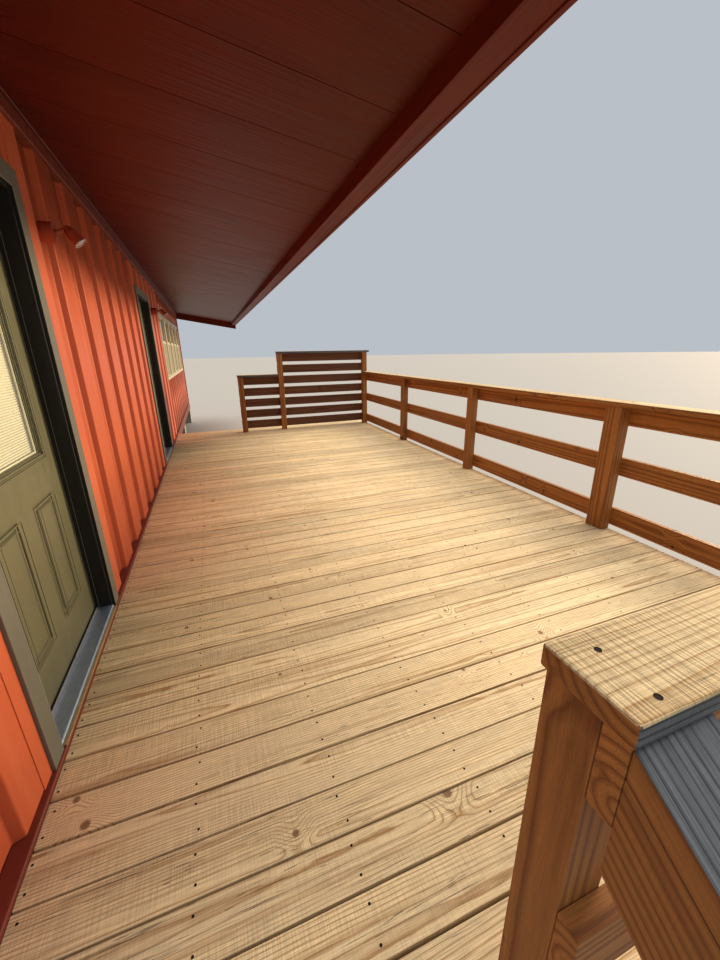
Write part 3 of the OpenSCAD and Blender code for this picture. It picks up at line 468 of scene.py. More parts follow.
stock = {"thick": 0.038, "wide": 0.14, "joint": 0.001}  # the sawn boards' common sizes
deckLow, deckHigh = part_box("deck_boards")
deckValues = {"count": 53, "gap": 0.003, "shrink": 0.0018, "edge": 0.0035, "play": 0.0014, "endPlay": 0.004}
pitch = (deckHigh.y - deckLow.y + deckValues["gap"]) / deckValues["count"]
planks = []
for i in range(deckValues["count"]):
    y = deckLow.y + i * pitch
    play = [random.uniform(-1, 1) * deckValues["play"] for _ in range(3)]
    near = y + deckValues["shrink"] + play[0]
    far = y + pitch - deckValues["gap"] - deckValues["shrink"] + play[1]
    end = deckHigh.x - random.random() * deckValues["endPlay"]
    planks.append(layBoard((deckLow.x, near, deckLow.z), (end, far, deckHigh.z), 0, deckValues["edge"],
                           None, play[2]))
boardPiece(planks, "deckPlanks", deckPine, ["deck_boards"])

capValues = {"edge": 0.004, "joint": 0.003, "topFace": 0.35}
capEdge = capValues["edge"]
capBoards = []
for low, high in looseParts("cap_boards"):
    if high.y - low.y > 1 and high.x - low.x > 1:  # the corner is two boards, the near one over the stair side
        near, side, middle = low.y + stock["wide"], high.x - stock["wide"], (low.y + high.y) / 2
        start, joint = near + capValues["joint"], stock["joint"]
        capBoards += [layBoard(low, (high.x, near, high.z), 0, capEdge),
                      layBoard((side, start, low.z), (high.x, middle - joint, high.z), 1, capEdge),
                      layBoard((side, middle + joint, low.z), high, 1, capEdge)]
    else:
        capBoards.append(layBoard(low, high, 0, capEdge))
railCaps = boardPiece(capBoards, "railCaps", sunlitCapPine, ["cap_boards"])
railCaps.data.materials.append(railPine)
railCaps.data.materials.append(silveredShadePine)
for polygon in railCaps.data.polygons:  # painted light: the top is the pale sunlit pine, the ends the darker rail pine as painted shade, the near edge grey as painted shade
    if polygon.normal.z < capValues["topFace"]:
        polygon.material_index = 2 if polygon.normal.y < -0.5 else 1

posts = [layBoard(low, high, 2, 0.004) for low, high in looseParts("rail_posts")]
boardPiece(posts, "railPosts", railPine, ["rail_posts"])

rails = []
buttJoint = -2.354  # behind the middle post
for low, high in looseParts("rail_boards"):
    side = high.x - stock["thick"]
    rails.append(layBoard(low, (side, low.y + stock["thick"], high.z), 0))
    joints = [low.y, buttJoint, high.y]
    for start, end in zip(joints, joints[1:]):
        rails.append(layBoard((side, start + stock["joint"], low.z), (high.x, end - stock["joint"], high.z), 1))
boardPiece(rails, "railBoards", railPine, ["rail_boards"])

screenBow = 0.002
screens = [layBoard(low, high, 0, 0.003, None, random.uniform(-screenBow, screenBow))
           for low, high in looseParts("screen_boards")]
boardPiece(screens, "screenBoards", screenPine, ["screen_boards"])

treads = [layBoard(low, high, 0, 0.005) for low, high in looseParts("stair_treads")]
boardPiece(treads, "stairTreads", deckPine, ["stair_treads"])
print("stage: boards", len(planks) + len(capBoards) + len(posts) + len(rails) + len(screens) + len(treads))


def timberCopy(nodeName, pieceName, material, edge=0.003):  # a node whose boards are cut to shape
    piece = mergedCopy(nodeName, pieceName)
    easeEdges(piece, edge)
    mesh = piece.data
    group = list(range(len(mesh.vertices)))  # boards found by their shared edges

    def rootOf(i):
        while group[i] != i:
            group[i] = group[group[i]]
            i = group[i]
        return i

    for edgeLine in mesh.edges:
        group[rootOf(edgeLine.vertices[0])] = rootOf(edgeLine.vertices[1])
    roots = np.array([rootOf(i) for i in range(len(group))])
    points = np.array([v.co for v in mesh.vertices], float)
    grain, tone = np.zeros_like(points), np.zeros(len(points), np.float32)
    for root in sorted(set(roots)):
        chosen = roots == root
        board = points[chosen] - points[chosen].mean(0)
        turn = np.linalg.svd(board, full_matrices=False)[2]
        start = (random.uniform(0, 60), random.uniform(-0.04, 0.04), random.uniform(0.02, 0.09))
        grain[chosen] = board @ turn.T + start
        tone[chosen] = random.random()
    setGrain(mesh, grain, tone)
    smoothFaces(piece, 40)
    finishPiece(piece, material, "root", [nodeName])


timberCopy("stair_stringers", "stairStringers", framingPine)
timberCopy("rafters", "rafterBoards", framingPine)

joistLow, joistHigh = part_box("deck_joists")
joistPoints = [v.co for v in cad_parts["deck_joists"].data.vertices]
acrossPlaces = sorted({round(p.x, 4) for p in joistPoints})
endPlaces = sorted({round(p.y, 4) for p in joistPoints})
joistPairs = list(zip(acrossPlaces[::2], acrossPlaces[1::2]))
joists = [layBoard((x0, endPlaces[1], joistLow.z), (x1, endPlaces[2], joistHigh.z), 1) for x0, x1 in joistPairs]
for y0, y1 in ((endPlaces[0], endPlaces[1]), (endPlaces[2], endPlaces[3])):
    joists.append(layBoard((joistLow.x, y0, joistLow.z), (joistHigh.x, y1, joistHigh.z), 0))
boardPiece(joists, "deckJoists", framingPine, ["deck_joists"])

beamValues = {"footTop": 0.128, "first": 0.0375, "second": 0.0385}  # each beam is two boards nailed together
beams = []
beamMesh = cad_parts["deck_beams"].data
footPlaces = sorted({round(v.co.x, 4) for v in beamMesh.vertices if v.co.z < 0.01})
for low, high in looseParts("deck_beams"):
    for y0, y1 in ((low.y, low.y + beamValues["first"]), (low.y + beamValues["second"], high.y)):
        beams.append(layBoard((low.x, y0, beamValues["footTop"]), (high.x, y1, high.z), 0))
    for x0, x1 in zip(footPlaces[::2], footPlaces[1::2]):
        beams.append(layBoard((x0, low.y, 0.0), (x1, high.y, beamValues["footTop"]), 2))
boardPiece(beams, "deckBeams", framingPine, ["deck_beams"])

stairRailValues = {"rise": 0.7008, "capDepth": 0.0464, "reach": 0.006}
low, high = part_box("stair_rail")
slope = (1, stairRailValues["rise"], high.y)
top = high.z - stairRailValues["capDepth"]
foot = low.y + stairRailValues["reach"]
deep = top + stairRailValues["rise"] * (foot - high.y) - low.z
sideRail = layBoard((low.x, foot, top - deep), (low.x + stock["thick"], high.y, top), 1, 0.003, slope)
boardPiece([sideRail], "stairRailBoard", railPine, ["stair_rail"])
railTop = layBoard((low.x, low.y, top), (high.x, high.y, high.z), 1, capEdge, slope)
stairRailCap = boardPiece([railTop], "stairRailCap", silveredShadePine)
stairRailCap.data.materials.append(railPine)
for polygon in stairRailCap.data.polygons:  # only the top is grey: weathered, with painted sky-lit shade
    if polygon.normal.z < 0.5:
        polygon.material_index = 1
print("stage: frame boards")


# screws: one head, copied along the joists

def makeHead(radius, height, sides=8):
    deselectAll()
    bpy.ops.mesh.primitive_circle_add(vertices=sides, radius=radius, fill_type="NGON", location=(0, 0, 0))
    head = bpy.context.object
    editAll()
    pull(0, 0, height)
    bpy.ops.mesh.inset(thickness=radius * 0.14)
    pull(0, 0, -height * 0.3)
    bpy.ops.object.mode_set(mode="OBJECT")
    return head


def scatter(template, places, name, material, body="root"):  # places are (point, turn matrix)
    points = np.array([v.co for v in template.data.vertices], float)
    copies = []
    for place, turn in places:
        mesh = template.data.copy()
        moved = points @ np.array(turn).T + np.array(place)
        mesh.vertices.foreach_set("co", moved.astype(np.float32).ravel())
        copy = bpy.data.objects.new(name, mesh)
        scene.collection.objects.link(copy)
        copies.append(copy)
    piece = joinPieces(copies, name)
    bpy.data.objects.remove(template)
    finishPiece(piece, material, body)


upright = Matrix.Identity(3)
screwSteelInShade = makeSpeckled("coated_screw_painted_hole_shade", 900.0, 2.0, ("#0A0705", "#221812"),
                          # brown coated steel, dull, darkened near black as painted shade of its hole
                          {"Roughness": 0.8, "Specular IOR Level": 0.15})
screwValues = {"radius": 0.004, "inset": 0.032, "playX": 0.007, "playY": 0.004, "height": 0.001,
               "sunk": 0.0006}
heads = []
for i in range(deckValues["count"]):
    y = deckLow.y + i * pitch
    for x0, x1 in joistPairs:
        for side in (screwValues["inset"], pitch - deckValues["gap"] - screwValues["inset"]):
            x = (x0 + x1) / 2 + random.uniform(-screwValues["playX"], screwValues["playX"])
            play = random.uniform(-screwValues["playY"], screwValues["playY"])
            heads.append(((x, y + side + play, deckHigh.z - screwValues["sunk"]), upright))
deckHead = makeHead(screwValues["radius"], screwValues["height"])
scatter(deckHead, heads, "deckScrews", screwSteelInShade)

capScrewValues = {"radius": 0.0052, "sides": 12, "offsets": ((0.004, -0.068), (0.006, 0.013)),
                  "middle": (0.046, 0.0445), "lowest": 0.4}
heads = []
middleX, middleY = capScrewValues["middle"]
for low, high in looseParts("rail_posts"):
    if low.z < capScrewValues["lowest"]:  # the post at the stair's foot has no level cap
        continue
    top = high.z + stock["thick"] - screwValues["sunk"]
    for dx, dy in capScrewValues["offsets"]:
        heads.append(((low.x + middleX + dx, low.y + middleY + dy, top), upright))
capHead = makeHead(capScrewValues["radius"], screwValues["height"], capScrewValues["sides"])
scatter(capHead, heads, "capScrews", screwSteelInShade)
print("stage: screws")


# paint on steel

def makeEnamel(name, look):  # brushed or sprayed enamel: faded in streaks, an eggshell skin, a little rust
    material, tree, shader = startMaterial(name)
    place = addNode(tree, "TexCoord").outputs["Object"]
    fields = {field: drawnNoise(tree, place, waves, detail) for field, waves, detail in (
        ("streaks", look["streak"], 5.0), ("clouds", (1.3, 1.3, 1.3), 4.0), ("rust", (38.0, 38.0, 26.0), 4.0),
        ("sheen", (22.0, 22.0, 9.0), 4.0), ("skin", (320.0, 320.0, 320.0), 2.0),
        ("dents", look["dents"], 1.0))}
    colour = layTints(tree, look["colour"], fields, (
        ("streaks", 0.35, 0.7, look["fadeShare"], look["faded"]), ("clouds", 0.4, 0.75, 0.35, look["deep"]),
        ("rust", look["rustFrom"], look["rustFrom"] + 0.03, 0.85, "#4A2314")))
    # the recess attribute darkens the troughs of the ribs: painted shade
    recess = addNode(tree, "Attribute", attribute_name="recess").outputs["Fac"]
    troughShade = addNode(tree, "MapRange", recess, 0.0, 1.0, 1.0, 1.0 - look["recess"])
    colour = addNode(tree, "VectorMath", colour, Scale=troughShade, operation="SCALE")
    rough = addNode(tree, "MapRange", fields["sheen"], 0.3, 0.7, look["rough"] - 0.07, look["rough"] + 0.1)
    height = addNode(tree, "Math", fields["dents"], look["dentDepth"], fields["skin"], operation="MULTIPLY_ADD")
    bump = addNode(tree, "Bump", Strength=0.25, Distance=0.0006, Height=height)
    fillSockets(tree, shader, {"Base Color": colour, "Roughness": rough, "Normal": bump, "IOR": 1.5})
    return material


enamelBase = {"streak": (16.0, 16.0, 0.9), "fadeShare": 0.5, "recess": 0.0, "rustFrom": 0.74, "rough": 0.45,
              "dents": (2.6, 2.6, 1.6), "dentDepth": 10.0}
wallEnamel = makeEnamel("brick_red_enamel_on_steel", {  # orange-red, a little chalky, with painted shade in the troughs
    **enamelBase, "colour": "#C65A33", "faded": "#D26C40", "deep": "#AE4C2B", "recess": 0.1, "rough": 0.52})
frameEnamel = makeEnamel("red_enamel_on_steel_rails", {  # dark red, darker than the walls, with more rust
    **enamelBase, "colour": "#6E2616", "faded": "#7F3522", "deep": "#541B10", "rustFrom": 0.68, "rough": 0.55})
roofEnamel = makeEnamel("dark_red_roof_enamel", {  # deep red, smooth from the roller
    **enamelBase, "colour": "#7A2A1D", "faded": "#8E4030", "deep": "#5E1E15", "rustFrom": 0.8, "rough": 0.36})
redPrimer = makeEnamel("red_oxide_primer", {  # flat brown-red
    **enamelBase, "colour": "#5A352A", "faded": "#6B4438", "deep": "#3E241D", "rustFrom": 0.6, "rough": 0.7})
cleanBase = {**enamelBase, "rustFrom": 0.95, "rough": 0.5, "dentDepth": 1.0}  # the doors' paint has no rust
doorEnamel = makeEnamel("olive_door_enamel", {  # satin olive khaki
    **cleanBase, "colour": "#68684E", "faded": "#73735A", "deep": "#5A5A43", "rough": 0.4, "dentDepth": 2.0,
    "fadeShare": 0.3})
grooveShadeEnamel = makeEnamel("olive_groove_painted_shade", {  # the same paint, darkened as painted shade in the panel grooves
    **cleanBase, "colour": "#2F2F25", "faded": "#3A3A2E", "deep": "#26261E", "rough": 0.6, "dentDepth": 0.0})
trimEnamel = makeEnamel("grey_olive_trim_enamel", {  # the door's paint, a little chalked by the weather
    **cleanBase, "colour": "#65655A", "faded": "#717166", "deep": "#58584C"})
arrisHighlightAndLipEnamel = makeEnamel("pale_olive_arris_highlight_and_lip", {  # pale paint along the trim's inner arris as painted highlight, and on the seal lips
    **cleanBase, "colour": "#8A887C", "faded": "#98968B", "deep": "#77756A", "dentDepth": 0.0})
blackTrim = makeEnamel("black_jamb_enamel", {  # near black, satin
    **cleanBase, "colour": "#0C0B09", "faded": "#15130F", "deep": "#080706", "rough": 0.6})
lampEnamel = makeEnamel("red_enamel_on_cast_lamp", {  # thick, smooth and shiny
    **enamelBase, "colour": "#9A3D27", "faded": "#AD5238", "deep": "#80301F", "rustFrom": 0.9, "rough": 0.3,
    "dentDepth": 0.0})
print("stage: enamels")


# steel walls: a merged copy of each panel, its ribs pressed with a small radius

wallValues = {"ribRadius": 0.006, "ribDepth": 0.034, "leastEdge": 0.05, "margin": 0.012}
lining = makeSpeckled("painted_lining_board", 6.0, 5.0, ("#CFC8B8", "#E2DCCE"),  # warm white emulsion
                      {"Roughness": 0.7})


def wallPiece(nodeNames, pieceName, axis, face, outward):
    # axis is the wall's normal, face its outer plane and outward +1 or -1 along that axis
    run = 1 - axis
    margin, ribDepth = wallValues["margin"], wallValues["ribDepth"]
    panels = []
    for nodeName in nodeNames:
        panel = mergedCopy(nodeName, pieceName)
        low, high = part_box(nodeName)
        for edge in panel.data.edges:  # the upright edges of the ribs
            a, b = (panel.data.vertices[i].co for i in edge.vertices)
            aside = max(abs(a.x - b.x), abs(a.y - b.y))
            stands = abs(a.z - b.z) > wallValues["leastEdge"] and aside < 0.001
            inside = low[run] + margin < a[run] < high[run] - margin
            edge.select = stands and inside and (face - a[axis]) * outward < ribDepth + 0.002
        for polygon in panel.data.polygons:
            polygon.select = False
        pick(panel)
        bpy.ops.object.mode_set(mode="EDIT")
        bpy.ops.mesh.select_mode(type="EDGE")
        bpy.ops.mesh.bevel(offset=wallValues["ribRadius"], offset_type="OFFSET", segments=2, affect="EDGES")
        bpy.ops.object.mode_set(mode="OBJECT")
        panels.append(panel)
    piece = joinPieces(panels, pieceName)
    mesh = piece.data
    # how deep each point lies in a rib's trough, which the wall enamel darkens as painted shade
    depths = [min(1.0, max(0.0, (face - v.co[axis]) * outward / ribDepth)) for v in mesh.vertices]
    mesh.attributes.new("recess", "FLOAT", "POINT").data.foreach_set("value", depths)
    smoothFaces(piece, 50)
    finishPiece(piece, wallEnamel, "root", nodeNames)
    mesh.materials.append(lining)
    for polygon in mesh.polygons:  # the room side is lined
        if polygon.normal[axis] * outward < -0.9:
            polygon.material_index = 1


frontParts = ("near", "middle", "pier", "end", "over_doors", "under_windows", "over_windows")
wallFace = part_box("front_wall_middle")[1].x
wallPiece(["front_wall_" + part for part in frontParts], "frontWallSheets", 0, wallFace, 1)
wallPiece(["back_wall"], "backWallSheets", 0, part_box("back_wall")[0].x, -1)
wallPiece(["near_end_wall"], "nearWallSheets", 1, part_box("near_end_wall")[0].y, -1)
wallPiece(["far_end_wall"], "farWallSheets", 1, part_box("far_end_wall")[1].y, 1)

lapValues = {"in": 0.0002, "thick": 0.003, "y": (-5.0105, -4.9455), "z": (0.5505, 2.687), "edge": 0.0005}
lapLow, lapHigh = zip(lapValues["y"], lapValues["z"])
lap = layBoard((wallFace - lapValues["in"], *lapLow), (wallFace + lapValues["thick"], *lapHigh), 2,
               lapValues["edge"])
boardPiece([lap], "frontWallLap", wallEnamel)

edgedCopy("container_rails", "containerRails", frameEnamel, 0.005)
edgedCopy("corner_posts", "cornerPosts", frameEnamel, 0.007)
edgedCopy("roof_sheets", "roofSheets", roofEnamel, 0.0022)
edgedCopy("ridge_cap", "ridgeCap", roofEnamel, 0.0015)
for nodeName, material in (
        ("corner_blocks", frameEnamel), ("floor_bearers", redPrimer), ("container_roof", redPrimer),
        ("ceiling", lining), ("flood_lights", lampEnamel)):
    coatNode(nodeName, material)
print("stage: walls and roof")


# soffit, eave and barge boards: dark red gloss brushed on rough timber

glossFields = (  # brush marks 6 to 10 mm apart, the board's own grain raised under the paint, and thin places
    ("strokes", 2.2, 130.0, 4.0), ("ridges", 1.1, 46.0, 2.0), ("clouds", 1.5, 4.0, 3.0))


def makeGloss(name, look):
    material, tree, shader = startMaterial(name)
    tone, fields = grainFields(tree, glossFields)[1:]
    colour = layTints(tree, look["colour"], fields, (
        ("strokes", 0.35, 0.68, 0.75, look["worn"]), ("clouds", 0.42, 0.7, 0.5, look["deep"])))
    boardTone = addNode(tree, "MapRange", tone, 0.0, 1.0, 0.95, 1.05)
    colour = addNode(tree, "VectorMath", colour, Scale=boardTone, operation="SCALE")
    rough = addNode(tree, "MapRange", fields["strokes"], 0.3, 0.7, look["rough"] - 0.08, look["rough"] + 0.14)
    height = addNode(tree, "Math", fields["ridges"], 1.6, fields["strokes"], operation="MULTIPLY_ADD")
    bump = addNode(tree, "Bump", Strength=look["bump"], Distance=0.0016, Height=height)
    fillSockets(tree, shader, {"Base Color": colour, "Roughness": rough, "Normal": bump, "IOR": 1.5,
                               "Specular IOR Level": look["gloss"]})
    return material


soffitGloss = makeGloss("dark_red_gloss_on_rough_board", {  # wet-looking streaks along each board; the deep dark red is partly the paint and partly painted shade under the eave
    "colour": "#55160A", "worn": "#681E10", "deep": "#420F06", "rough": 0.4, "gloss": 0.13, "bump": 0.7})
trimGloss = makeGloss("red_gloss_on_trim_board", {  # smoother boards, same paint
    "colour": "#5E1C0D", "worn": "#702817", "deep": "#4A1509", "rough": 0.46, "gloss": 0.14, "bump": 0.45})
paleHighlightGloss = makeGloss("red_bead_painted_highlight", {  # a bead a little pinker than the boards, as painted highlight
    "colour": "#5C2D23", "worn": "#754438", "deep": "#49211A", "rough": 0.4, "gloss": 0.3, "bump": 0.2})

roofRise = 1 / 6  # the roof's slope
soffitValues = {"pitch": 0.4055, "seam": -5.024, "gap": 0.003, "thick": 0.0122, "edge": 0.0012,
                "starts": (2.9425, 2.9925), "climbs": (1, -1)}
soffitParts = sorted(looseParts("soffits"), key=lambda part: part[0].x)
panels = []
for (low, high), start, climb in zip(soffitParts, soffitValues["starts"], soffitValues["climbs"]):
    first, last = ((edge.y - soffitValues["seam"]) / soffitValues["pitch"] for edge in (low, high))
    places = range(math.ceil(first), math.floor(last) + 1)
    seams = [low.y] + [soffitValues["seam"] + k * soffitValues["pitch"] for k in places] + [high.y]
    slope = (0, climb * roofRise, low.x)
    for y0, y1 in zip(seams, seams[1:]):
        corner = (high.x, y1 - soffitValues["gap"], start + soffitValues["thick"])
        panels.append(layBoard((low.x, y0, start), corner, 0, soffitValues["edge"], slope))
boardPiece(panels, "soffitPanels", soffitGloss, ["soffits"])

eaveValues = {"board": 0.02, "shadow": 0.004, "joints": (-2.35, 1.31, 4.97), "joint": 0.001,
              "frontDrop": 0.0205, "innerDrop": 0.004, "backDrop": 0.0065}
eaveParts = sorted(looseParts("eave_fascias"), key=lambda part: part[0].x)
board, shadow, joint = eaveValues["board"], eaveValues["shadow"], eaveValues["joint"]
eaveBoards = []
low, high = eaveParts[1]
runs = [low.y, *eaveValues["joints"], high.y]
frontTop, innerTop = high.z - eaveValues["frontDrop"], high.z - eaveValues["innerDrop"]
for y0, y1 in zip(runs, runs[1:]):  # front, inner and under board of the porch eave
    y1 -= joint
    eaveBoards.append(layBoard((high.x - board, y0, low.z), (high.x, y1, frontTop), 1))
    eaveBoards.append(layBoard((low.x, y0, low.z), (low.x + board, y1, innerTop), 1))
    eaveBoards.append(layBoard((low.x + board + joint, y0, low.z + shadow),
                               (high.x - board - joint, y1, low.z + shadow + board), 1, 0.002))
low, high = eaveParts[0]
backTop = high.z - eaveValues["backDrop"]
for y0, y1 in zip(runs, runs[1:]):
    eaveBoards.append(layBoard((low.x, y0, low.z), (high.x, y1 - joint, backTop), 1))
boardPiece(eaveBoards, "eaveBoards", trimGloss, ["eave_fascias"])

bargeDepth = 0.3039
bargeBoards = []
ridgeX = (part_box("ridge_cap")[0].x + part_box("ridge_cap")[1].x) / 2
for low, high in looseParts("barge_boards"):
    top = high.z - bargeDepth
    bargeBoards.append(layBoard((ridgeX, low.y, top), high, 0, 0.003, (0, -roofRise, ridgeX)))
    start = top - (ridgeX - low.x) * roofRise
    bargeBoards.append(layBoard((low.x, low.y, start), (ridgeX, high.y, start + bargeDepth), 0, 0.003,
                                (0, roofRise, low.x)))
boardPiece(bargeBoards, "bargeBoards", trimGloss, ["barge_boards"])
timberCopy("gable_boards", "gableBoards", trimGloss)
timberCopy("roof_plates", "plateBoards", trimGloss)

beadValues = {"size": 0.009, "top": 2.9907, "out": 0.022, "edge": 0.004, "joints": (-2.0, 1.7, 4.9)}
low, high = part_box("roof_plates")
beadX, beadBase = wallFace + beadValues["out"], beadValues["top"] - beadValues["size"]
beadFar = beadX + beadValues["size"]
beadRuns = [low.y, *beadValues["joints"], high.y]
beads = [layBoard((beadX, y0, beadBase), (beadFar, y1 - joint, beadValues["top"]), 1, beadValues["edge"])
         for y0, y1 in zip(beadRuns, beadRuns[1:])]
boardPiece(beads, "soffitBead", paleHighlightGloss)
print("stage: soffit and eave")


# doors

doorValues = {
    "mids": (-4.3975, -0.1735), "halfOpening": 0.4525, "openingTop": 2.592, "step": 0.014,
    "slatPitch": 0.0106, "slatWidth": 0.0125, "slatTilt": 64, "pane": 0.004,
    "panelBase": 0.206, "panelPitch": 0.37, "panelWidth": 0.203, "panelHeight": 0.539, "grooveX": -0.5042,
}


def makeRing(x, low, high, strip, rise, edge=0.0008):  # a flat frame that stands on a plane facing +X
    deselectAll()
    (y0, z0), (y1, z1) = low, high
    bpy.ops.mesh.primitive_plane_add(size=1, location=(x, (y0 + y1) / 2, (z0 + z1) / 2),
                                     rotation=(0, math.pi / 2, 0))
    ring = bpy.context.object
    applyScale(ring, (z1 - z0, y1 - y0, 1))
    bpy.ops.object.mode_set(mode="EDIT")
    bpy.ops.mesh.select_mode(type="FACE")
    bpy.ops.mesh.select_all(action="SELECT")
    bpy.ops.mesh.inset(thickness=strip)
    bpy.ops.mesh.delete(type="FACE")
    bpy.ops.mesh.select_all(action="SELECT")
    pull(rise, 0, 0)
    closeShell()
    easeEdges(ring, edge, 2, 40)
    return ring


def makeGlass(name, haze, fixed):  # float glass whose sheen is broken by a little dust
    material, tree, shader = startMaterial(name)
    place = addNode(tree, "TexCoord").outputs["Object"]
    dust = addNode(tree, "TexNoise", Vector=place, Scale=7.0, Detail=6.0)
    dusty = addNode(tree, "MapRange", dust, 0.35, 0.8, *haze)
    fillSockets(tree, shader, {"Roughness": dusty, **fixed})
    return material


clearGlass = makeGlass("clear_float_glass", (0.01, 0.09),  # faint green
                       {"Base Color": "#E3EBE6", "Transmission Weight": 1.0, "IOR": 1.5})
liteGlass = makeGlass("thin_clear_door_glass", (0.02, 0.12),  # nearly unseen but for its gloss and dust
                      {"Base Color": "#EEF2EC", "Alpha": 0.12})
blindVinyl = makeSpeckled("cream_vinyl_slat", 30.0, 3.0, ("#EDF0CE", "#F8FADF"),  # ivory and satin
                          {"Roughness": 0.5})
foamSeal = makeSpeckled("black_foam_weatherstrip", 40.0, 4.0, ("#15130F", "#2B2822"),  # dull, dusty black
                        {"Roughness": 0.7})
skyTintSillMetal = makeSpeckled("sill_aluminium_painted_sky_tint", 30.0, 6.0, ("#93A5BA", "#B9C7D6"),
                         # blue-grey as painted sky reflection, scuffed dull by feet
                         {"Roughness": 0.42, "Metallic": 0.9})


def makeDrawnMetal(name, look):  # fine lines along Y, with a second tone in scuffs or in the lines
    material, tree, shader = startMaterial(name)
    place = addNode(tree, "TexCoord").outputs["Object"]
    drawn = drawnNoise(tree, place, look["waves"], 3.0)
    scuff = addNode(tree, "TexNoise", Vector=place, Scale=24.0, Detail=5.0) if look["bump"] else drawn
    dark, pale = look["tones"]
    colour = addNode(tree, "Mix", scuff, at={6: dark, 7: pale}, data_type="RGBA").outputs[2]
    rough = addNode(tree, "MapRange", drawn, 0.3, 0.7, *look["rough"])
    fillSockets(tree, shader, {"Base Color": colour, "Roughness": rough, "Metallic": 1.0})
    if look["bump"]:
        bump = addNode(tree, "Bump", Strength=look["bump"], Distance=0.0003, Height=drawn)
        fillSockets(tree, shader, {"Normal": bump})
    return material


spacerMetal = makeDrawnMetal("mill_finish_aluminium", {  # pale, with fine drawing lines along it
    "waves": (900.0, 6.0, 900.0), "tones": ("#B9BBBE", "#E4E5E6"), "rough": (0.28, 0.5), "bump": 0.2})
satinNickel = makeDrawnMetal("satin_nickel", {  # warm grey metal, finely brushed
    "waves": (1500.0, 60.0, 1500.0), "tones": ("#A39C8E", "#C2BCB0"), "rough": (0.24, 0.38), "bump": 0})

doorFrames = edgedCopy("door_frames", "doorFrames", trimEnamel, 0.0022)
doorFrames.data.materials.append(blackTrim)
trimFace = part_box("door_frames")[1].x
trimReach = doorValues["halfOpening"] + doorValues["step"] + 0.001
trimTop = doorValues["openingTop"] + doorValues["step"] + 0.001
for polygon in doorFrames.data.polygons:  # the reveals are black, the faces olive
    middle, normal = polygon.center, polygon.normal
    inside = min(abs(middle.y - mid) for mid in doorValues["mids"]) < trimReach and middle.z < trimTop
    outerFace = normal.x > 0.7 and middle.x > trimFace - 0.003
    if inside and not outerFace and normal.x > -0.7:
        polygon.material_index = 1

# a pale arris strip along the trim's inner edge as painted highlight, and the seal behind the stops with its
# pale lip
stripValues = {
    "foot": 0.551, "bead": 0.0035, "beadRise": 0.0012, "beadIn": 0.0004, "beadBack": 0.002,
    "lipFrom": -0.4812, "lipTo": -0.4795, "lipOut": 0.0007, "lipIn": 0.0003,
    "sealFoot": 0.567, "sealUp": 0.006, "sealIn": 0.0065, "sealOut": 0.0015,
    "sealFrom": -0.4978, "sealTo": -0.4922}
beads, seals, lips = [], [], []
for mid in doorValues["mids"]:
    half, top = doorValues["halfOpening"], doorValues["openingTop"]
    edge, over = half + doorValues["step"], top + doorValues["step"]
    bead, beadIn, sealIn, sealOut, sealFrom, sealTo, sealFoot = (
        stripValues[key] for key in ("bead", "beadIn", "sealIn", "sealOut", "sealFrom", "sealTo", "sealFoot"))
    back, front = trimFace - stripValues["beadBack"], trimFace + stripValues["beadRise"]
    for side in (-1, 1):
        y0, y1 = sorted((mid + side * (edge - beadIn), mid + side * (edge + bead)))
        beads.append(layBoard((back, y0, stripValues["foot"]), (front, y1, over + bead), 2, 0.0008))
        y0, y1 = sorted((mid + side * (half - sealOut), mid + side * (half + sealIn)))
        seals.append(layBoard((sealFrom, y0, sealFoot), (sealTo, y1, top + stripValues["sealUp"]), 2, 0.0012))
        lipOut, lipIn = half - stripValues["lipOut"], half + stripValues["lipIn"]
        y0, y1 = sorted((mid + side * lipOut, mid + side * lipIn))
        lips.append(layBoard((stripValues["lipFrom"], y0, sealFoot), (stripValues["lipTo"], y1, top), 2, 0.0002))
    beads.append(layBoard((back, mid - edge, over - beadIn), (front, mid + edge, over + bead), 1, 0.0008))
    seals.append(layBoard((sealFrom, mid - half, top - sealOut),
                          (sealTo, mid + half, top + sealIn), 1, 0.0012))
boardPiece(beads, "doorTrimBeads", arrisHighlightAndLipEnamel)
boardPiece(lips, "doorSealLips", arrisHighlightAndLipEnamel)
boardPiece(seals, "doorSeals", foamSeal)


def makeSlat(length, width):  # one crowned strip
    deselectAll()
    bpy.ops.mesh.primitive_grid_add(x_subdivisions=1, y_subdivisions=4, size=1, location=(0, 0, 0))
    slat = bpy.context.object
    applyScale(slat, (length, width, 1))
    for vert in slat.data.vertices:
        vert.co.z = 0.0013 * (1 - (2 * vert.co.y / width) ** 2)
    applyModifier(slat, "SOLIDIFY", thickness=0.0004, offset=0.0)
    smoothFaces(slat, 60)
    return slat


leafValues = {
    "spacer": 0.008, "beadStrip": 0.005,
    "mouldings": ((0.0245, 0.006, 0.005), (0.0155, 0.0045, 0.0038), (0.008, 0.0075, 0.0055)),  # out, wide, rise
    "steps": ((0.0, 0.0185), (0.005, 0.0125)),  # in, reach: steps down to the glass
    "glazing": 0.01, "glazingReach": 0.0065,
    "sweepHalf": 0.449, "sweepFoot": 0.5675, "sweepOut": 0.0022, "sweepUp": 0.009,
    "slatEnds": 0.022, "slatFoot": 0.018, "slatRoom": 0.05,
    "headHalf": 0.0055, "headEnds": 0.009, "headBase": 0.03, "headTop": 0.0085,
}


def ringRound(x, low, high, out, wide, rise):  # out is how far it stands outside the rectangle
    return makeRing(x, (low[0] - out, low[1] - out), (high[0] + out, high[1] + out), wide, rise)


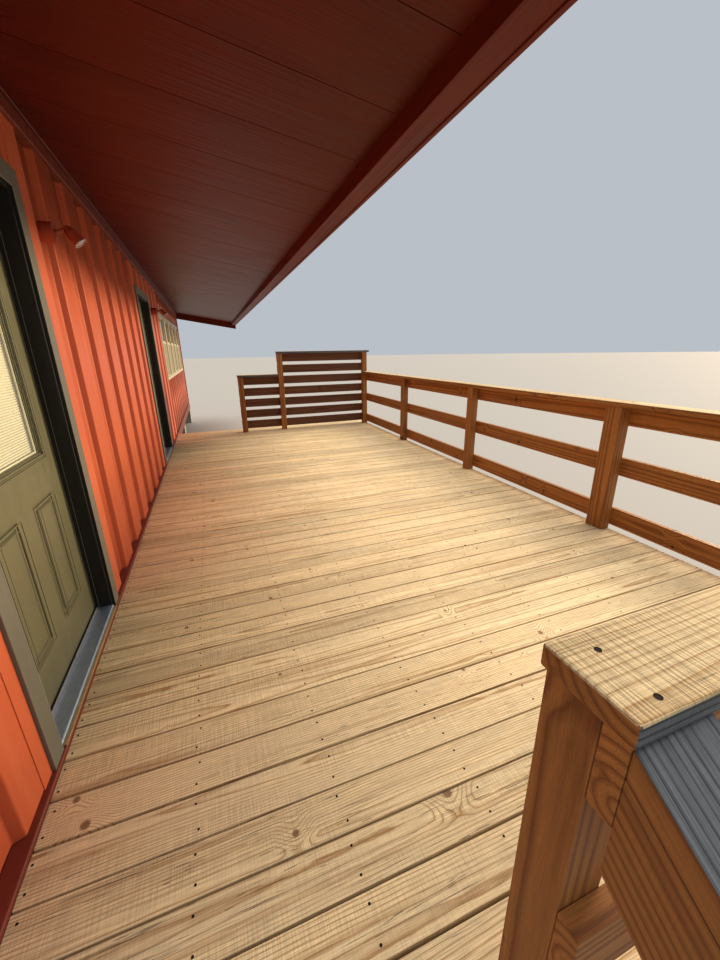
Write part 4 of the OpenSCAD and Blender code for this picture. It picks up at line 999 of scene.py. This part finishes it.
for number, mid in enumerate(doorValues["mids"], 1):
    body = "door_%d" % number
    name = "door%d" % number
    leaf = edgedCopy(body + "_leaf", name + "Leaf", doorEnamel, 0.0022, body)
    low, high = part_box("door_%d_glass" % number)
    leafLow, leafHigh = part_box("door_%d_leaf" % number)
    faceX, onFace, onGlass = leafHigh.x, leafHigh.x - 0.0003, high.x + 0.0002
    liteLow, liteHigh = (low.y, low.z), (high.y, high.z)
    pane = doorValues["pane"]
    panes = [layBoard((x0, low.y, low.z), (x0 + pane, high.y, high.z), 2, 0.0008)
             for x0 in (low.x, high.x - pane)]
    finishPiece(joinPieces(panes, name + "Panes"), liteGlass, body, [body + "_glass"])
    depth = high.x - low.x - 2 * pane - 0.0004
    spacer = makeRing(low.x + pane + 0.0002, liteLow, liteHigh, leafValues["spacer"], depth)
    finishPiece(joinPieces([spacer], name + "Spacer"), spacerMetal, body)
    rings = [ringRound(onFace, liteLow, liteHigh, *row) for row in leafValues["mouldings"]]
    for into, reach in leafValues["steps"]:
        rings.append(ringRound(onGlass, liteLow, liteHigh, -into, leafValues["beadStrip"], reach))
    finishPiece(joinPieces(rings, name + "LiteBeads"), doorEnamel, body)
    glazing = ringRound(onGlass, liteLow, liteHigh, -leafValues["glazing"], leafValues["beadStrip"],
                        leafValues["glazingReach"])
    finishPiece(joinPieces([glazing], name + "GlazingBead"), blindVinyl, body)
    sweepHalf, sweepTop = leafValues["sweepHalf"], leafLow.z + leafValues["sweepUp"]
    sweep = layBoard((onFace, mid - sweepHalf, leafValues["sweepFoot"]),
                     (faceX + leafValues["sweepOut"], mid + sweepHalf, sweepTop), 1, 0.0006)
    finishPiece(joinPieces([sweep], name + "Sweep"), spacerMetal, body)
    panelZ = leafLow.z + doorValues["panelBase"]
    half, tall = doorValues["panelWidth"] / 2, doorValues["panelHeight"]
    rings = []
    panelRows = (  # plane, inset, width and rise: a bead round the panel, an ogee in its groove, a bead on it
        (onFace, -0.0052, 0.0052, 0.0031), (doorValues["grooveX"], 0.006, 0.011, 0.0036),
        (onFace, 0.0222, 0.004, 0.0021))
    for side in (-1, 1):
        y = mid + side * doorValues["panelPitch"] / 2
        for base, into, wide, rise in panelRows:
            rings.append(ringRound(base, (y - half, panelZ), (y + half, panelZ + tall), -into, wide, rise))
    finishPiece(joinPieces(rings, name + "PanelBeads"), doorEnamel, body)
    leaf.data.materials.append(grooveShadeEnamel)
    for polygon in leaf.data.polygons:  # painted shade lies in the grooves
        inGroove = faceX - 0.0075 < polygon.center.x < faceX - 0.004 and polygon.center.z < panelZ + tall
        if polygon.normal.x > 0.7 and inGroove:
            polygon.material_index = 1
    slatCount = int((high.z - low.z - leafValues["slatRoom"]) / doorValues["slatPitch"])
    tilt = math.radians(doorValues["slatTilt"])
    turn = Matrix(((0, math.cos(tilt), math.sin(tilt)), (1, 0, 0), (0, math.sin(tilt), -math.cos(tilt))))
    centreX, firstZ = (low.x + high.x) / 2, low.z + leafValues["slatFoot"]
    places = [((centreX, mid, firstZ + i * doorValues["slatPitch"]), turn) for i in range(slatCount)]
    slat = makeSlat(high.y - low.y - leafValues["slatEnds"], doorValues["slatWidth"])
    scatter(slat, places, name + "Blind", blindVinyl, body)
    headHalf, headEnds = leafValues["headHalf"], leafValues["headEnds"]
    headBase, headTop = high.z - leafValues["headBase"], high.z - leafValues["headTop"]
    headBox = layBoard((centreX - headHalf, low.y + headEnds, headBase),
                       (centreX + headHalf, high.y - headEnds, headTop), 1, 0.0015)
    finishPiece(joinPieces([headBox], name + "BlindHead"), blindVinyl, body)
    coatNode(body + "_hardware", satinNickel)

edgedCopy("doorsills", "doorSills", skyTintSillMetal, 0.0012)
sillValues = {"from": -0.4925, "to": -0.4175, "pitch": 0.0082, "wide": 0.0034, "rise": 0.0013, "in": 0.0006,
              "ends": 0.003, "stripGap": 0.0005, "stripX": -0.3955, "stripZ": (0.5498, 0.5565)}
ribs, strips = [], []
ends, (stripBase, stripTop) = sillValues["ends"], sillValues["stripZ"]
for low, high in looseParts("doorsills"):
    x = sillValues["from"]
    base, top = high.z - sillValues["in"], high.z + sillValues["rise"]
    while x < sillValues["to"]:
        ribs.append(layBoard((x, low.y + ends, base), (x + sillValues["wide"], high.y - ends, top), 1, 0.0007))
        x += sillValues["pitch"]
sillRibs = joinPieces(ribs, "sillRibs")
smoothFaces(sillRibs, 50)
finishPiece(sillRibs, skyTintSillMetal)
for low, high in looseParts("doorsills"):  # a timber strip in front of each sill
    strips.append(layBoard((high.x + sillValues["stripGap"], low.y, stripBase),
                           (sillValues["stripX"], high.y, stripTop), 1, 0.001))
boardPiece(strips, "subSills", framingPine)
print("stage: doors")


# windows

almondVinyl, tree, shader = startMaterial("almond_vinyl")  # extruded, even, dull sheen, dusty low down
place = addNode(tree, "TexCoord").outputs["Object"]
dusty = addNode(tree, "TexNoise", Vector=place, Scale=9.0, Detail=5.0)
dusty = addNode(tree, "MapRange", dusty, 0.35, 0.75, 0.0, 0.6)
colour = addNode(tree, "Mix", dusty, at={6: "#D6CBAA", 7: "#B9AC8C"}, data_type="RGBA").outputs[2]
fineGrain = addNode(tree, "TexNoise", Vector=place, Scale=650.0, Detail=2.0)
rough = addNode(tree, "MapRange", dusty, 0.0, 0.6, 0.36, 0.55)
bump = addNode(tree, "Bump", Strength=0.15, Distance=0.0003, Height=fineGrain)
fillSockets(tree, shader, {"Base Color": colour, "Roughness": rough, "Normal": bump})

sunlitScreenMesh, tree, shader = startMaterial("insect_mesh_painted_sunlight")  # woven mesh, pale as painted sunlight at a grazing angle, partly see-through
place = addNode(tree, "TexCoord").outputs["Object"]
threadWaves = 2094.0  # threads 1.4 mm apart, drawn at 3 mm so that they show
threads = []
for profile in ((0.0, threadWaves, 0.0), (0.0, 0.0, threadWaves)):
    along = addNode(tree, "VectorMath", place, profile, operation="DOT_PRODUCT").outputs["Value"]
    threads.append(addNode(tree, "Math", along, operation="SINE"))
weave = addNode(tree, "Math", *threads, operation="MAXIMUM")
weave = addNode(tree, "MapRange", weave, -0.2, 0.9, 0.0, 1.0)
colour = addNode(tree, "Mix", weave, at={6: "#6E6C55", 7: "#C9C5A2"}, data_type="RGBA").outputs[2]
fillSockets(tree, shader, {"Base Color": colour, "Roughness": 0.6, "Alpha": 0.78})

edgedCopy("window_frame", "windowFrame", almondVinyl, 0.0025)
edgedCopy("window_sashes", "windowSashes", almondVinyl, 0.0022)
coatNode("window_glass", clearGlass)
screenValues = {"x": -0.4285, "thick": 0.008, "strip": 0.018, "play": 0.002, "top": 0.03, "in": 0.03,
                "above": 1.8}
screenFrames, screenSheets = [], []
for low, high in looseParts("window_sashes"):
    if low.z > screenValues["above"]:  # only the lower sashes have a screen
        continue
    play, inside = screenValues["play"], screenValues["in"]
    corner, far = (low.y + play, low.z + play), (high.y - play, high.z - screenValues["top"])
    screenFrames.append(makeRing(screenValues["x"], corner, far, screenValues["strip"], screenValues["thick"]))
    deselectAll()
    middle = (screenValues["x"] + screenValues["thick"] / 2, (corner[0] + far[0]) / 2, (corner[1] + far[1]) / 2)
    bpy.ops.mesh.primitive_grid_add(x_subdivisions=6, y_subdivisions=6, size=1, rotation=(0, math.pi / 2, 0),
                                    location=middle)
    sheet = bpy.context.object
    applyScale(sheet, (far[1] - corner[1] - inside, far[0] - corner[0] - inside, 1))
    screenSheets.append(sheet)
finishPiece(joinPieces(screenFrames, "windowScreenFrames"), almondVinyl)
finishPiece(joinPieces(screenSheets, "windowScreens"), sunlitScreenMesh)
print("stage: windows")


# flood lamps: a lens and a rim in each mouth, fins along the head

lampValues = {
    "z": 2.516, "centres": (-3.6, 0.624), "seats": (-0.034, 0.0), "box": 0.082, "arm": 0.06,
    "raised": 23, "dip": 53, "length": 0.081, "radius": 0.031, "lens": 0.0275, "recess": 0.006,
    "lensSteps": ((0.0015, 0.0022), (0.006, 0.0014), (0.009, 0.001), (0.007, 0.0004)),  # inset, rise
    "rimOut": 0.0012, "rimStrip": 0.0035, "rimDeep": 0.004, "rimBack": 0.0035,
    "fins": 12, "finLength": 0.042, "finHigh": 0.003, "finWide": 0.0014, "finStart": 0.027, "finIn": 0.0028,
}
lensGlass, tree, shader = startMaterial("moulded_lamp_glass")  # stippled glass over a dim bowl
place = addNode(tree, "TexCoord").outputs["Object"]
stipple = addNode(tree, "TexVoronoi", Vector=place, Scale=220.0)
colour = addNode(tree, "Mix", stipple, at={6: "#A98B76", 7: "#5E4334"}, data_type="RGBA").outputs[2]
fillSockets(tree, shader, {"Base Color": colour, "Roughness": 0.16, "Coat Weight": 0.8,
                           "Normal": addNode(tree, "Bump", Strength=0.5, Distance=0.001, Height=stipple)})


def makeDisc(sides, radius):  # a filled circle, open in edit mode
    deselectAll()
    bpy.ops.mesh.primitive_circle_add(vertices=sides, radius=radius, fill_type="NGON", location=(0, 0, 0))
    editAll()
    return bpy.context.object


lens = makeDisc(32, lampValues["lens"])
for step, rise in lampValues["lensSteps"]:
    pull(0, 0, rise)
    bpy.ops.mesh.inset(thickness=step)
bpy.ops.object.mode_set(mode="OBJECT")
smoothFaces(lens, 50)
rim = makeDisc(40, lampValues["radius"] + lampValues["rimOut"])  # a turned band round each mouth
bpy.ops.mesh.inset(thickness=lampValues["rimStrip"])
bpy.ops.mesh.delete(type="FACE")
bpy.ops.mesh.select_all(action="SELECT")
pull(0, 0, lampValues["rimDeep"])
closeShell()
easeEdges(rim, 0.0008, 2, 40)
smoothFaces(rim, 50)
finHigh, finWide = lampValues["finHigh"] / 2, lampValues["finWide"] / 2
fin = layBoard((-finHigh, -finWide, 0), (finHigh, finWide, lampValues["finLength"]), 2, 0.0004)
lensPlaces, rimPlaces, finPlaces = [], [], []
raised, dip = math.radians(lampValues["raised"]), math.radians(lampValues["dip"])
aim = Vector((math.cos(dip), 0, -math.sin(dip)))
toAim = aim.to_track_quat("Z", "Y").to_matrix()
for centre, seat in zip(lampValues["centres"], lampValues["seats"]):
    face = Vector((wallFace + seat + lampValues["box"], centre, lampValues["z"]))
    tail = face + lampValues["arm"] * Vector((math.cos(raised), 0, math.sin(raised)))
    lensPlaces.append((tail + aim * (lampValues["length"] - lampValues["recess"]), toAim))
    rimPlaces.append((tail + aim * (lampValues["length"] - lampValues["rimBack"]), toAim))
    for i in range(lampValues["fins"]):  # cooling fins along the head
        spin = toAim @ Matrix.Rotation(2 * math.pi * i / lampValues["fins"], 3, "Z")
        side = spin @ Vector((lampValues["radius"] - lampValues["finIn"], 0, 0))
        finPlaces.append((tail + aim * lampValues["finStart"] + side, spin))
scatter(lens, lensPlaces, "floodLenses", lensGlass)
scatter(rim, rimPlaces, "floodRims", spacerMetal)
scatter(fin, finPlaces, "floodFins", lampEnamel)
print("stage: lamps")


# piers of block with their joints, and the floor

blockConcrete, tree, shader = startMaterial("cast_concrete_block")  # pressed aggregate, pitted, light grey
place = addNode(tree, "TexCoord").outputs["Object"]
grit = addNode(tree, "TexVoronoi", Vector=place, Scale=240.0).outputs["Distance"]
stain = addNode(tree, "TexNoise", Vector=place, Scale=5.0, Detail=6.0)
colour = addNode(tree, "Mix", stain, at={6: "#7F7B73", 7: "#B5B1A8"}, data_type="RGBA").outputs[2]
pit = addNode(tree, "MapRange", grit, 0.1, 0.5, 0.7, 1.08)
colour = addNode(tree, "VectorMath", colour, Scale=pit, operation="SCALE")
bump = addNode(tree, "Bump", Strength=0.8, Distance=0.002, Height=grit)
fillSockets(tree, shader, {"Base Color": colour, "Roughness": 0.92, "Normal": bump})

blockValues = {"course": 0.19, "joint": 0.01, "recess": 0.006,
               "shimIn": (0.02, 0.06), "shimBase": 0.378, "shimFrom": 0.385}
course, halfJoint, recess = blockValues["course"], blockValues["joint"] / 2, blockValues["recess"]
blocks, mortar = [], []
for low, high in looseParts("foundation_blocks"):
    for z0, z1 in ((0.0, course - halfJoint), (course + halfJoint, 2 * course)):
        blocks.append(layBoard((low.x, low.y, z0), (high.x, high.y, z1), 1, 0.004))
    plates = [(recess, recess, course - 2 * halfJoint, course + 2 * halfJoint, 0.001)]
    if high.z > blockValues["shimFrom"]:  # a shim takes up the last 12 mm
        plates.append((*blockValues["shimIn"], blockValues["shimBase"], high.z, 0.0015))
    for inX, inY, z0, z1, edge in plates:
        mortar.append(layBoard((low.x + inX, low.y + inY, z0), (high.x - inX, high.y - inY, z1), 1, edge))
boardPiece(blocks, "pierBlocks", blockConcrete, ["foundation_blocks"])
mortarMix = makeSpeckled("sand_mortar", 420.0, 3.0, ("#5E5B55", "#8A857B"),  # darker, sandier than the block
                         {"Roughness": 0.95})
boardPiece(mortar, "pierJoints", mortarMix)

floorPly, tree, shader = startMaterial("sealed_plywood_floor")  # rotary-cut face with a seam each 1.2 m
place = addNode(tree, "TexCoord").outputs["Object"]
drawn = addNode(tree, "VectorMath", place, (1.2, 9.0, 1.0), operation="MULTIPLY")
figure = addNode(tree, "TexNoise", Vector=drawn, Scale=2.4, Detail=5.0, Distortion=1.2)
colour = addNode(tree, "Mix", figure, at={6: "#8F6B45", 7: "#C9A578"}, data_type="RGBA").outputs[2]
along = addNode(tree, "SeparateXYZ", place).outputs[1]
seam = addNode(tree, "Math", along, 0.61, operation="PINGPONG")
seam = addNode(tree, "MapRange", seam, 0.0, 0.002, 0.35, 1.0)
colour = addNode(tree, "VectorMath", colour, Scale=seam, operation="SCALE")
fillSockets(tree, shader, {"Base Color": colour, "Roughness": 0.4})
coatNode("floor", floorPly)
print("stage: piers and floor")


bpy.data.objects.remove(boardBlank)
